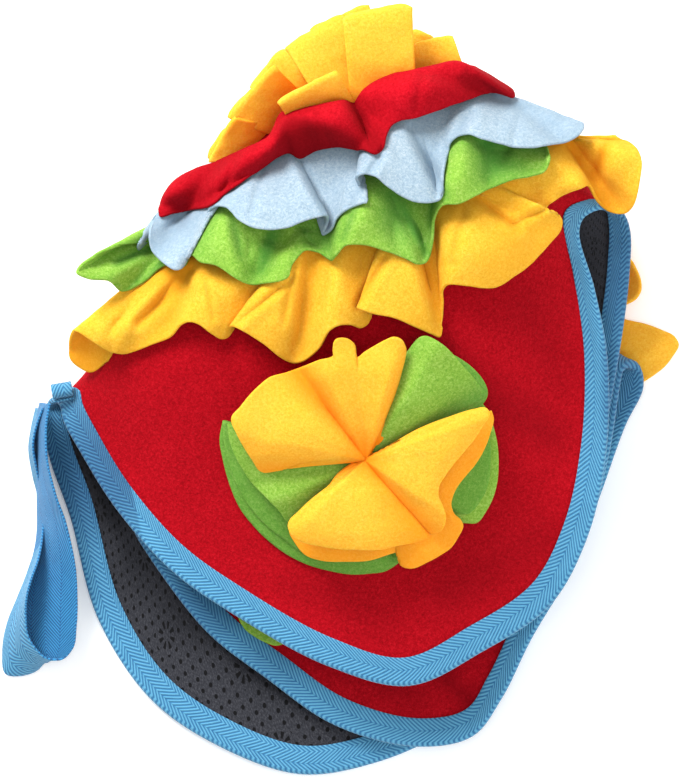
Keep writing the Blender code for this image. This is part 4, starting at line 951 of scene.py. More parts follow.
def add_layer(pts, thick):
    """Raises the field of everything laid so far to the top of a new sheet."""
    global LAYER
    top = np.full((GX, GY), -1.0)
    dense = [pts]
    for f in (0.25, 0.5, 0.75):
        dense.append(pts[:-1] * (1 - f) + pts[1:] * f)
    for d in dense:
        px = d[..., 0] / (GRID / MM) + PLAN_CENTRE[0]
        py = PLAN_CENTRE[1] - d[..., 1] / (GRID / MM)
        i = np.clip(np.round(px / CELL).astype(int), 0, GX - 1)
        j = np.clip(np.round(py / CELL).astype(int), 0, GY - 1)
        np.maximum.at(top, (i.ravel(), j.ravel()), (d[..., 2] + thick / 2).ravel())
    wide = top.copy()
    for a in (-1, 0, 1):
        for b in (-1, 0, 1):
            wide = np.maximum(wide, np.roll(np.roll(top, a, 0), b, 1))
    LAYER = np.maximum(LAYER, wide)


def over_layer(x, y, z, gap):
    """The height, kept a gap above all that was laid before, with a soft meeting."""
    floor = read_field(soften(LAYER, 2), x, y) + gap
    k = 1.2
    return np.where(z - floor > 4 * k, z, floor + k * np.log1p(np.exp(np.clip((z - floor) / k, -30, 8))))


# ---- ruffles ----
# Front rows of every ruffle: hem x, y, lift, root x, y, and how far the cloth stands off at a third and two thirds of the
# way down.
RUFFLES = {
    "yellow": (0.36, 0.47, [
        (108, 360, -9, 150, 300, -2, -4), (92, 371, -10, 140, 296, -2, -5), (75, 362, -7, 132, 290, -2, -4),
        (70, 346, 3, 128, 287, 0, 2), (78, 331, 15, 138, 277, 6, 12), (96, 341, 17, 150, 268, 9, 14),
        (114, 351, 11, 158, 266, 9, 12), (128, 352, 5, 164, 264, 7, 8), (152, 344, 4, 174, 262, 2, 2),
        (171, 335, 5, 184, 260, -1, 0), (182, 324, 9, 194, 258, 4, 5), (191, 321, 11, 206, 258, 8, 9),
        (199, 323, 11, 220, 260, 9, 10), (213, 333, 8, 240, 264, 8, 8), (222, 338, 5, 262, 248, 6, 6),
        (228, 336, 2.5, 280, 252, 3, 3), (231, 330, 2.5, 288, 254, 2, 2), (233, 326, 10, 292, 246, 6, 8),
        (240, 328, 13, 296, 242, 9, 12), (263, 342, 12, 300, 238, 10, 13), (286, 359, 7, 304, 236, 8, 10),
        (295, 362, 6, 309, 236, 2, 3), (304, 360, 7, 316, 238, 2, 4), (319, 348, 9, 324, 238, 5, 8),
        (330, 330, 12, 332, 238, 8, 11), (338, 325, 13, 340, 238, 8, 12), (350, 324, 10, 348, 238, 6, 9),
        (361, 327, 6, 362, 240, 3, 4), (369, 321, 3.5, 376, 242, 2, 2), (370, 314, 4, 384, 240, 2, 2),
        (358, 308, 11, 386, 230, 7, 9), (373, 313, 14, 392, 226, 10, 13), (393, 317, 15, 398, 226, 11, 15),
        (414, 326, 13, 406, 228, 11, 14), (430, 333, 10, 412, 230, 8, 11), (439, 336, 7, 420, 252, 3, 5),
        (441, 322, 3.5, 428, 240, 1, 1), (442, 305, 3.5, 432, 226, 1, 1), (443, 289, 7, 434, 214, 4, 6),
        (448, 284, 12, 440, 208, 9, 12), (465, 285, 14, 452, 202, 12, 16), (494, 287, 13, 464, 196, 13, 17),
        (511, 277, 12, 470, 194, 11, 15), (530, 263, 10, 474, 194, 8, 12), (549, 242, 9, 476, 194, 5, 8),
        (559, 230, 11, 478, 194, 3, 7), (560, 219, 13, 482, 190, 4, 9), (551, 212, 12, 488, 186, 4, 8),
        (543, 214, 5, 494, 182, 1, 2), (546, 207, 3, 500, 180, 1, 1), (550, 203, 6, 508, 160, 4, 5),
        (561, 195, 9, 522, 150, 7, 9), (578, 188, 12, 538, 144, 9, 12), (588, 186, 11, 552, 138, 8, 11),
        (598, 202, 3, 560, 136, 1, 0), (610, 211, 2, 566, 136, -2, -4), (623, 213, 5, 570, 136, 0, 0),
        (632, 204, 11, 572, 138, 5, 9), (638, 178, 15, 572, 138, 9, 14), (639, 160, 14, 572, 139, 9, 14),
        (632, 147, 6, 570, 140, 5, 7), (616, 138, -8, 562, 139, -4, -8)]),
    "green": (0.30, 0.40, [
        (162, 238, 2, 186, 214, 1, 2), (138, 243, 11, 180, 212, 4, 8), (119, 246, 18, 176, 214, 4, 10.5),
        (97, 256, 22, 172, 216, 2, 8.5), (79, 273, 26, 170, 218, 2, 10.5), (90, 279, 25, 174, 222, 2, 12.5),
        (111, 281, 21, 180, 226, 3, 12.5), (124, 291, 13, 186, 229, 2, 8.5), (141, 283, 9, 190, 229, 2, 6.5),
        (158, 269, 6, 196, 216, 2, 5),
        (172, 262, 4, 204, 212, 1, 2), (184, 266, 5, 210, 208, 2, 3), (193, 255, 15, 222, 202, 7, 12.5),
        (202, 262, 17, 232, 196, 9, 15.5), (217, 265, 17, 240, 192, 8, 15.5), (238, 279, 15, 248, 204, 2, 10.5),
        (251, 284, 10, 256, 202, -3, 2), (268, 283, 9, 268, 200, -5, -2), (288, 277, 9, 282, 200, -5, -3),
        (293, 264, 8, 292, 200, -5, -3), (304, 251, 8, 302, 200, -4, -3), (319, 253, 9, 312, 200, -3, -2),
        (331, 261, 10, 320, 200, -1, 2), (336, 256, 15, 334, 200, 4, 10.5), (345, 246, 17, 352, 178, 9, 15.5),
        (364, 245, 18, 368, 176, 12, 18.5), (383, 250, 17, 382, 172, 5, 11.5), (402, 257, 13, 394, 170, -3, 1),
        (418, 264, 11, 404, 186, -6, -2), (425, 262, 10, 412, 184, -6, -3), (430, 250, 9, 420, 184, -6, -3),
        (432, 236, 9, 428, 180, -5, -2), (433, 220, 10, 436, 172, -1, 3), (441, 206, 16, 444, 150, 7, 14.5),
        (458, 204, 19, 460, 128, 12, 19.5), (477, 195, 18, 474, 128, 6, 13.5), (490, 188, 13, 488, 130, -3, 4),
        (509, 181, 12, 502, 128, -6, 1), (530, 177, 12, 516, 130, -6, 1), (544, 172, 13, 528, 126, -4, 2),
        (548, 160, 16, 536, 122, 0, 8.5), (543, 148, 8, 540, 116, 1, 3)]),
    "light_blue": (0.235, 0.33, [
        (140, 243, -2, 176, 204, -2, -4), (146, 232, 2, 186, 192, -1, 0), (158, 215, 9, 196, 182, 0, 3),
        (151, 232, 17.5, 198, 186, -1, 10), (153, 249, 20.5, 202, 188, -3, 12), (164, 262, 21.5, 208, 190, -4, 13),
        (175, 269, 20.5, 214, 190, -4, 13), (182, 269, 16.5, 220, 190, -2, 11), (188, 260, 9, 224, 190, 0, 6),
        (192, 246, 5, 228, 188, 0, 2), (200, 232, 4, 232, 186, 0, 1), (208, 219, 5, 236, 184, 0, 1),
        (213, 209, 12, 240, 180, 3, 7), (226, 207, 17.5, 246, 172, 6, 12), (233, 212, 19.5, 252, 166, 7, 14),
        (240, 220, 20.5, 258, 162, 8, 15), (256, 228, 20.5, 264, 158, 8, 16), (271, 230, 19.5, 270, 154, 8, 16),
        (288, 228, 18.5, 276, 152, 8, 15), (301, 223, 18.5, 282, 150, 8, 15), (315, 218, 18.5, 286, 150, 8, 15),
        (326, 216, 18.5, 290, 150, 6, 13), (328, 224, 10, 294, 148, 2, 4), (323, 235, 6, 298, 146, 0, 1),
        (330, 231, 5, 306, 142, -2, -1), (337, 217, 8, 316, 140, -3, -1), (350, 208, 11, 328, 138, -2, 1),
        (362, 204, 11, 342, 136, -2, 2), (367, 203, 9, 352, 136, -2, 1), (364, 192, 9, 358, 136, -1, 3),
        (357, 179, 17.5, 366, 132, 3, 10), (364, 175, 20.5, 374, 122, 6, 14), (376, 178, 22.5, 382, 114, 8, 16),
        (386, 186, 22.5, 388, 110, 9, 17), (400, 196, 21.5, 394, 108, 9, 17), (414, 202, 20.5, 400, 108, 8, 16),
        (430, 203, 18.5, 404, 110, 6, 13), (440, 199, 12, 410, 112, 3, 6), (442, 188, 6, 416, 114, -3, -2),
        (443, 172, 5, 422, 114, -4, -4), (445, 158, 6, 428, 110, -4, -4), (448, 145, 9, 436, 104, -3, -1),
        (457, 137, 12, 446, 96, 1, 4), (468, 136, 14, 456, 90, 4, 7), (480, 140, 17.5, 466, 86, 5, 11),
        (495, 143, 17.5, 472, 90, 6, 12), (513, 147, 17.5, 478, 93, 6, 13), (530, 148, 18.5, 484, 96, 6, 13),
        (548, 145, 19.5, 498, 95, 7, 14), (567, 142, 20.5, 505, 96, 7, 14), (579, 134, 19.5, 509, 97, 6, 13),
        (582, 126, 12, 511, 98, 3, 7), (574, 121, 2, 510, 98, 0, 0)]),
    "red": (0.165, 0.26, [
        (160, 208, 2, 166, 194, 6, 11), (161, 216, 3, 172, 186, 8, 14), (175, 213, 5, 182, 178, 10, 17),
        (189, 210, 6, 196, 171, 12, 18), (212, 206, 6, 214, 165, 14, 17), (223, 196, 7, 230, 158, 15, 18),
        (245, 181, 8, 246, 151, 18, 21), (263, 168, 9, 262, 144, 19, 23), (280, 157, 9, 272, 136, 20, 26),
        (289, 154, 8, 280, 118, 25, 32), (300, 159, 6, 290, 112, 28, 33), (315, 151, 7, 305, 110, 28, 32),
        (328, 148, 8, 320, 108, 27, 29), (350, 149, 8, 336, 105, 25, 23), (368, 153, 8, 346, 104, 18, 13),
        (376, 155, 7, 351, 106, 11, 5), (382, 150, 6, 355, 106, 7, 3), (386, 137, 8, 359, 100, 10, 5),
        (390, 127, 12, 365, 92, 17, 12), (398, 122, 13, 375, 85, 20, 19), (414, 119, 13, 390, 78, 22, 24),
        (439, 111, 13, 408, 74, 24, 27), (465, 101, 12, 430, 69, 25, 28), (492, 93, 11, 456, 64, 24, 26),
        (513, 98, 8, 474, 70, 18, 18), (512, 91, 5, 474, 69, 12, 10), (492, 80, 1, 462, 66, 5, 3)]),
}
# how far down each red row its fold line lies
FOLD_SHARE = [0.4, 0.4, 0.4, 0.4, 0.45, 0.45, 0.45, 0.45, 0.4, 0.3, 0.25, 0.3, 0.4, 0.5, 0.55, 0.55, 0.5, 0.45, 0.45, 0.4, 0.4,
              0.4, 0.4, 0.4, 0.45, 0.45, 0.45]
# Creases pressed into the rings: x, y to x, y, half width on the grid, depth mm
CREASES = {
    "yellow": [(190, 274, 141, 320, 7, 4.5), (291, 280, 237, 325, 4, 2.6), (294, 268, 284, 320, 5, 2.2),
               (383, 262, 358, 305, 5, 3.0), (420, 262, 436, 326, 6, 3.5), (476, 200, 514, 228, 6, 4.0),
               (512, 225, 548, 208, 3.5, 2.6), (606, 148, 590, 182, 8, 4.0), (330, 268, 322, 310, 5, 1.8),
               (150, 290, 112, 330, 5, 2.0), (205, 278, 214, 316, 4, 1.8), (462, 214, 452, 262, 6, 1.8)],
    "green": [(276, 226, 262, 268, 10, 4.5), (302, 226, 316, 248, 7, 3.0), (396, 198, 424, 252, 8, 4.0),
              (482, 146, 540, 152, 7, 3.0), (232, 216, 240, 256, 6, 2.5), (356, 206, 344, 240, 5, 2.5),
              (440, 176, 446, 200, 5, 2.5), (120, 262, 160, 246, 6, 3.5)],
    "light_blue": [(299, 164, 327, 218, 5, 3.5), (226, 204, 246, 176, 4, 2.2), (412, 134, 442, 192, 6, 4.0),
                   (446, 152, 470, 118, 6, 3.0), (378, 160, 352, 204, 5, 3.0), (262, 176, 252, 214, 5, 1.6),
                   (520, 112, 512, 140, 5, 1.6), (172, 226, 190, 212, 5, 2.5)],
    "red": [(351, 106, 378, 150, 6, 4.5), (280, 122, 276, 156, 4, 2.0), (238, 160, 224, 192, 4, 1.8),
            (420, 80, 414, 112, 5, 1.5), (468, 74, 470, 98, 5, 1.3), (318, 116, 330, 144, 5, 1.6)],
}
# how much of each red row's fall below its fold line lies in the dark
RED_DARK = [0.3, 0.4, 0.45, 0.45, 0.4, 0.35, 0.3, 0.4, 0.6, 0.75, 0.8, 0.8, 0.7, 0.55, 0.6, 0.7, 0.7, 0.4, 0.1, 0.05, 0.05,
            0.1, 0.1, 0.1, 0.1, 0.1, 0.1]


def crease_at(px, py, lines):
    """Lift and painted shade from the creases at plan places: the cloth rises on both shoulders and dips between them.
    """
    lift, dark = np.zeros_like(px), np.zeros_like(px)
    for x0, y0, x1, y1, w, depth in lines:
        dx, dy = x1 - x0, y1 - y0
        u = np.clip(((px - x0) * dx + (py - y0) * dy) / (dx * dx + dy * dy), -0.05, 1.05)
        d = np.hypot(px - x0 - dx * u, py - y0 - dy * u)
        fade = np.clip(1.15 - np.abs(u - 0.5) * 0.7, 0, 1)
        core = np.exp(-(d / w) ** 2)
        lift += depth * fade * (0.8 * np.exp(-(d / (2.3 * w)) ** 2) - 1.25 * core)
        dark = np.maximum(dark, core * fade * min(1.0, depth / 4.0) * 0.75)
    return lift, dark


BACK_WAVES = {"yellow": 15, "green": 13, "light_blue": 12, "red": 10}
V_SHARES = np.concatenate([np.linspace(0.0, 0.9, 22), [0.94, 0.97, 0.99, 1.0]])


def ruffle(name, seam, back_rho, rows, mat):
    rows = np.array(rows, float)
    hx, hy, hl, rx, ry, b1, b2 = rows.T
    knots4 = np.array([0.0, 1 / 3, 2 / 3, 1.0])
    ctrl = []
    ridge = name.endswith("red")
    for k, v in enumerate(knots4):
        if ridge:       # the ring's own roll shows: it stands up from the seam to a ridge and falls forward
            v = (0.12, 0.0, np.array(FOLD_SHARE)[:, None][:, 0], 1.0)[k]
        x, y = rx + (hx - rx) * v, ry + (hy - ry) * v
        lift = [np.full(len(rows), 1.5), b1, b2, hl][k]
        ctrl.append(np.stack([x, y, lift], axis=1))
    # closed ring: the back rows are given by angle on the dome, with even waves
    n = BACK_WAVES[name.split("ruffle_")[1]] * 4
    ends = []
    for x, y in ((hx[-1], hy[-1]), (hx[0], hy[0])):
        px, py = plan(x, y)
        ang = np.arange(-80.0, 260.0, 1.0)
        q = ring_point(ang, np.full_like(ang, 0.40))
        ends.append(ang[np.argmin(np.hypot(q[:, 0] - px, q[:, 1] - py))])
    a0, a1 = min(ends[0], 25.0) - 6.0, max(ends[1], 150.0) - 360.0 + 6.0
    angs = a0 + (a1 - a0) * (np.arange(n) + 0.5) / n
    wave = np.cos(np.arange(n) * math.pi / 2.0 + 0.6)
    jitter = np.array([noise.noise(Vector((i * 0.37, 4.0 + seam * 9, 0.0))) for i in range(n)])
    back = []
    for v in knots4:
        rho = seam + (back_rho + 0.02 * wave + 0.03 * jitter - seam) * v
        lift = 2.4 + (3.0 + 2.6 * wave + 2.0 * jitter) * v
        t = t_of(angs)
        p = mat_point(t, rho) + mat_normal(t, rho) * (RED_OUT + lift)[:, None]
        p[:, 2] = np.maximum(p[:, 2], 1.6)
        back.append(p)
    # hermite along the ring on the front tables first, with the cloth's height looked up afterwards
    step = (np.hypot(np.diff(hx), np.diff(hy)) + 0.5 * np.abs(np.diff(hl)) + 4.0) ** 0.75
    kf = np.concatenate([[0], np.cumsum(step)])
    fine = []
    for a, b in zip(kf[:-1], kf[1:]):
        m = max(4, int(round((b - a) / 1.15)))
        fine += [a + (b - a) * i / m for i in range(m)]
    fine = np.array(fine + [kf[-1]])
    sheets = []
    for c in ctrl:
        sheets.append(hermite(kf, c, fine))
    front = []
    for v in V_SHARES:
        q = hermite(knots4, np.array([s.ravel() for s in sheets]), [v]).reshape(len(fine), 3)
        x, y = plan(q[:, 0], q[:, 1])
        z = over_layer(q[:, 0], q[:, 1], base_z(q[:, 0], q[:, 1]) + q[:, 2], RUFFLE_THICK / 2 + 0.3)
        front.append(np.stack([x, y, z], axis=1))
    front = np.array(front)
    for _ in range(2):
        z = front[..., 2]
        z[:, 1:-1] = (z[:, :-2] + 2 * z[:, 1:-1] + z[:, 2:]) / 4
        z[1:-1] = (z[:-2] + 2 * z[1:-1] + z[2:]) / 4
    gx = front[..., 0] / (GRID / MM) + PLAN_CENTRE[0]
    gy = PLAN_CENTRE[1] - front[..., 1] / (GRID / MM)
    lift, dark = crease_at(gx, gy, CREASES[name.split("ruffle_")[1]])
    front[..., 2] += lift
    floor = read_field(soften(LAYER, 1), gx, gy) + RUFFLE_THICK / 2 + 0.35
    front[..., 2] = np.maximum(front[..., 2], np.where(V_SHARES[:, None] < 0.985, floor, -1.0))
    add_layer(front, RUFFLE_THICK)
    kb = np.arange(n, dtype=float)
    fb = np.linspace(0, n - 1, n * 4)
    bsheets = np.array([hermite(kb, b, fb) for b in back])
    rear = []
    for v in V_SHARES:
        rear.append(hermite(knots4, bsheets.reshape(4, -1), [v]).reshape(-1, 3))
    rear = np.array(rear)
    # joins of front and back
    def join(p, q, dp, dq, m=14):
        s = (np.arange(1, m) / m)[None, :, None]
        p, q, dp, dq = p[:, None], q[:, None], dp[:, None], dq[:, None]
        return ((2 * s**3 - 3 * s**2 + 1) * p + (s**3 - 2 * s**2 + s) * dp + (3 * s**2 - 2 * s**3) * q
                + (s**3 - s**2) * dq)
    k = 12.0
    unit = lambda d: d / np.maximum(np.linalg.norm(d, axis=-1, keepdims=True), 1e-9)
    j1 = join(front[:, -1], rear[:, 0], unit(front[:, -1] - front[:, -2]) * k, unit(rear[:, 1] - rear[:, 0]) * k)
    j2 = join(rear[:, -1], front[:, 0], unit(rear[:, -1] - rear[:, -2]) * k, unit(front[:, 1] - front[:, 0]) * k)
    mid = np.concatenate([front, j1, rear, j2], axis=1)
    mid[..., 2] = np.maximum(mid[..., 2], RUFFLE_THICK / 2 + 0.1)
    nrm = grid_normals(mid, True)
    fade = np.clip(V_SHARES, 0.15, 1.0)[:, None]
    mid = mid + nrm * ((rumple(mid, 0.40, 6.0, seam * 31) + rumple(mid, 0.7, 17.0, seam * 17)) * fade)[..., None]
    mid[..., 2] = np.maximum(mid[..., 2], RUFFLE_THICK / 2 + 0.1)
    nf = front.shape[1]
    # painted shade for the 'deep' attribute: valleys lower than the cloth beside them along the ring, the part by the
    # seam under the ring above, the red ring's fall below its fold line and the creases; the back and the joins get an
    # even 0.25
    z = front[..., 2]
    high = z.copy()
    for k in range(1, 26):
        w = 1.0 - 0.5 * k / 26
        for q in (np.roll(z, k, 1), np.roll(z, -k, 1)):
            high = np.maximum(high, z + (q - z) * w)
    sink = np.clip((high - z) / 11.0, 0, 1)
    for _ in range(12):
        sink[:, 1:-1] = (sink[:, :-2] + 2 * sink[:, 1:-1] + sink[:, 2:]) / 4
    under = np.clip((0.42 - V_SHARES) / 0.42, 0, 1)[:, None] * 0.55
    deep = np.full(mid.shape[:2], 0.25)
    deep[:, :nf] = np.clip(sink * 0.95 * (1 - 0.35 * V_SHARES[:, None]) + under, 0, 0.9)
    if ridge:
        part = np.interp(fine, kf, RED_DARK)[None, :]
        share = np.interp(fine, kf, FOLD_SHARE)[None, :]
        deep[:, :nf] = np.maximum(sink * 0.6, part * smooth_step(V_SHARES[:, None], share * 0.6 + 0.33, share * 0.6 + 0.55))
    deep[:, :nf] = np.maximum(deep[:, :nf], dark)
    return thin_grid(name, mid, RUFFLE_THICK, mat, wrap=True, deep=deep)


RUFFLE_MATS = {"yellow": RUFFLE_YELLOW, "green": GREEN, "light_blue": LIGHT_BLUE, "red": RUFFLE_RED}
ruffles = {}
for colour, (seam, back_rho, rows) in RUFFLES.items():
    ruffles[colour] = ruffle("cloth_ruffle_" + colour, seam, back_rho, rows, RUFFLE_MATS[colour])


# ---- centre loops: far edge left and right, near edge right and left (plan), heights far and near, depth ----
LOOPS = [
    ("03", (311, 30), (368, 5), (388, 50), (330, 78), 44, 44, 6),
    ("04", (285, 50), (302, 37), (334, 78), (304, 96), 38, 44, 6),
    ("12", (322, 36), (376, 24), (384, 60), (334, 74), 22, 32, 6),
    ("11", (413, 31), (433, 38), (420, 72), (392, 66), 42, 44, 6),
    ("10", (414, 47), (452, 37), (464, 70), (396, 88), 54, 58, 7),
    ("05", (250, 87), (283, 50), (318, 84), (276, 116), 48, 50, 8),
    ("09", (208, 158), (225, 130), (262, 136), (246, 160), 42, 50, 6),
    ("02", (286, 48), (342, 15), (376, 80), (322, 108), 56, 58, 9),
    ("08", (208, 163), (234, 119), (284, 128), (256, 162), 66, 52, 8),
    ("06", (228, 118), (275, 68), (304, 96), (276, 138), 72, 60, 9),
    ("01", (343, 18), (411, 6.5), (415, 80), (351, 108), 72, 74, 9),
    ("07", (278, 104), (336, 73), (356, 106), (296, 132), 88, 68, 9),
]
TILT = {"01": 1.5, "02": -4.0, "03": 2.0, "04": -3.0, "05": -3.5, "06": -5.0, "07": 2.5, "08": -6.0, "09": -3.0, "10": 4.0,
        "11": 3.0, "12": 0.0}


# painted shade: how strongly the near end of each loop is darkened toward the fold colour, and with an 'r' key its
# right side
LOOP_INNER_SHADE = {"07": 0.6, "08": 0.8, "06": 0.4, "01": 0.35, "02": 0.4, "06r": 0.35, "08r": 0.3, "02r": 0.15, "05": 0.8}


def centre_loop(tag, far_l, far_r, near_r, near_l, z_far, z_near, depth):
    fl, fr, nr, nl = (np.array(plan(*p)) for p in (far_l, far_r, near_r, near_l))
    thick = LOOP_THICK
    d = depth / 2 - thick / 2
    z_near = min(z_near, float(base_z((near_l[0] + near_r[0]) / 2, (near_l[1] + near_r[1]) / 2)) + 3.0)
    # side view of the fold: along (0 near, 1 far) and height
    prof = [(0.0, -0.3 * d), (0.12, -0.5 * d), (0.35, -0.8 * d), (0.62, -1.0 * d), (0.84, -1.0 * d), (0.95, -0.75 * d),
            (1.0, -0.15 * d), (0.995, 0.35 * d), (0.95, 0.78 * d), (0.84, 1.05 * d), (0.62, 1.2 * d), (0.35, 1.05 * d),
            (0.12, 0.65 * d), (0.0, 0.35 * d)]
    k = np.arange(len(prof), dtype=float)
    prof = hermite(k, prof, np.linspace(0, len(prof) - 1, 53))
    cols = 33
    s = np.linspace(-1, 1, cols)
    rows = []
    for a, h in prof:
        left, right = nl + (fl - nl) * a, nr + (fr - nr) * a
        xy = left[None, :] + (right - left)[None, :] * ((s + 1) / 2)[:, None]
        # the fold's end is rounded at both corners
        xy = xy - (((fl + fr) - (nl + nr)) / 2)[None, :] * (0.05 * np.abs(s)**7 * a**4)[:, None]
        z = z_near + (z_far - z_near) * a
        bow = (-1.6 * s**2 + 0.7 * np.sin(2.7 * s + 2.0 * a + z_far)) * a * min(1.0, depth / 8.0)
        rows.append(np.concatenate([xy, (z + h + bow - TILT[tag] * s * a)[:, None]], axis=1))
    mid = np.array(rows)
    n = grid_normals(mid, False)
    mid = mid + n * (rumple(mid, 0.9, 13.0, z_far) + rumple(mid, 0.4, 5.0, z_near))[..., None]
    along = np.array([a for a, h in prof])[:, None]
    low = np.array([h for a, h in prof])[:, None]
    # painted shade for the 'deep' attribute: the near end by the amount listed for the loop, the lower layer of the
    # fold, and the right side by its 'r' amount
    deep = np.clip((0.55 - along) / 0.55, 0, 1) ** 1.3 * LOOP_INNER_SHADE.get(tag, 0.5) + np.clip(-low, 0, 1) * 0.3 + 0 * s[None, :]
    deep = deep + 0.35 * (np.abs(s)[None, :] > 2) + LOOP_INNER_SHADE.get(tag + "r", 0.0) * np.clip(s[None, :], 0, 1)
    return thin_grid("centre_strip_" + tag, mid, thick, YELLOW, deep=deep)


loops = {row[0]: centre_loop(*row) for row in LOOPS}

# ---- flower: petals as outlines round the middle, with height rows of (angle, share, lift) ----
MIDDLE_XY = (366.0, 459.0)
PETALS = {
    # name: base height above the mat, outline, crests and valleys by angle: (degrees, lift at the edge, lift half way)
    "green_under": (2.0, [(225, 421), (222, 440), (225, 458), (232, 484), (242, 507), (255, 524), (269, 538), (286, 551),
                          (305, 561), (328, 568), (353, 572), (370, 571), (384, 569), (397, 561), (412, 545)],
                    [(160, 1, 2), (175, 0, 3), (190, 1, 2), (205, 0, 3), (220, 1, 2), (240, 0, 2), (262, 1, 2),
                     (280, 0, 3), (300, 1, 3)]),
    "green_under2": (4.6, [(226, 421), (226, 440), (231, 462), (240, 486), (252, 506), (268, 524), (284, 536), (300, 548),
                           (322, 556), (346, 562), (372, 563), (392, 557)],
                     [(160, 2, 2), (175, 1, 3), (190, 2, 2), (205, 1, 3), (220, 2, 2), (240, 1, 2), (262, 2, 2), (300, 2, 3)]),
    "green_right": (3.5, [(448, 520), (464, 521), (475, 521), (484, 510), (491, 496), (495, 480), (496, 463),
                          (495, 445), (491, 427), (486, 412), (478, 402)],
                    [(-38, 1, 2), (-25, 2, 3), (-10, 1, 3), (5, 2, 3), (20, 2, 3), (30, 1, 3)]),
    "green_right2": (7.0, [(446, 506), (466, 512), (478, 500), (486, 482), (488, 462), (488, 445), (484, 430), (476, 416)],
                     [(-38, 2, 2), (-25, 3, 3), (-10, 2, 3), (5, 3, 3), (20, 3, 3), (30, 2, 3)]),
    "green_left": (8.0, [(230, 424), (232, 440), (238, 456), (246, 470), (256, 484), (268, 496), (280, 508), (290, 520),
                         (302, 510), (322, 492)],
                   [(160, 6, 3), (180, 7, 5), (192, 4, 6), (204, 8, 8), (214, 6, 5), (224, 2, 2)]),
    "yellow_bottom2": (8.5, [(318, 492), (300, 514), (291, 530), (296, 540), (307, 553), (322, 558), (345, 559), (368, 558),
                             (391, 551), (410, 546), (424, 541)],
                       [(210, 3, 3), (225, 2, 3), (245, 4, 4), (262, 2, 4), (280, 4, 4), (300, 3, 3)]),
    "yellow_bottom": (14.5, [(352, 464), (338, 475), (330, 486), (315, 498), (300, 512), (290, 524), (292, 531), (300, 538), (318, 543),
                             (338, 546), (358, 547), (378, 547), (398, 543), (414, 540), (426, 536), (428, 526),
                             (424, 514)],
                      [(208, 4, 3), (216, 7, 5), (226, 9, 9), (238, 8, 9), (252, 7, 9), (268, 6, 8), (282, 6, 6),
                       (296, 5, 3), (312, 2, 0)]),
    "green_top2": (6.0, [(412, 366), (432, 352), (450, 356), (484, 398), (474, 410), (430, 436)],
                   [(62, 3, 3), (50, 4, 4), (38, 3, 4), (24, 2, 3)]),
    "green_top": (10.0, [(398, 384), (404, 362), (411, 348), (419, 339), (424, 338), (432, 341), (440, 346), (461, 368),
                         (479, 389), (482, 394), (478, 399), (466, 403), (442, 418), (412, 434)],
                  [(74, 3, 2), (66, 9, 6), (58, 12, 9), (46, 9, 8), (38, 7, 6), (30, 2, 2), (22, 1, 1)]),
    "yellow_right2": (9.0, [(404, 520), (400, 548), (402, 564), (410, 566), (426, 560), (439, 553), (449, 546), (456, 536),
                             (461, 524), (452, 513), (449, 504), (451, 494), (456, 484), (464, 474), (474, 462),
                             (482, 448), (488, 432), (491, 418), (489, 411)],
                      [(-72, 3, 2), (-58, 4, 4), (-46, 2, 3), (-30, 4, 4), (-10, 3, 4), (10, 4, 4), (24, 3, 4)]),
    "yellow_right": (16.5, [(430, 532), (440, 528), (444, 516), (440, 504), (436, 494), (437, 484), (443, 474),
                            (452, 462), (462, 450), (472, 438), (481, 424), (487, 414), (484, 409), (476, 410),
                            (468, 412), (450, 418), (433, 424), (415, 432), (398, 442), (382, 451)],
                     [(-50, 1, -1), (-42, 5, 3), (-34, 8, 7), (-20, 8, 8), (-4, 7, 8), (10, 8, 8), (20, 9, 7),
                      (28, 5, 4)]),
    "yellow_top": (15.0, [(373, 447), (386, 432), (392, 404), (396, 386), (400, 370), (403, 358), (404, 348), (401, 342), (393, 339),
                          (385, 342), (376, 347), (366, 353), (357, 359), (354, 352), (353, 345), (348, 341),
                          (343, 340), (337, 341), (334, 345), (334, 351), (334, 357), (320, 362), (305, 368),
                          (288, 374), (271, 379), (261, 387), (252, 396), (243, 407), (234, 418), (239, 433),
                          (246, 446), (254, 458), (263, 470), (278, 467), (296, 462), (315, 459), (334, 457), (350, 457)],
                   [(66, 3, 2), (73, 9, 8), (84, 6, 7), (95, 3, 6), (104, 6, 6), (114, 8, 6), (122, 6, 3), (127, 2, -1),
                    (133, 6, 3), (144, 8, 8), (156, 8, 10), (168, 9, 10), (178, 7, 7), (186, 2, 2)]),
}
PETAL_MAT = {"green": GREEN, "yellow": YELLOW}
TAKEN = {}


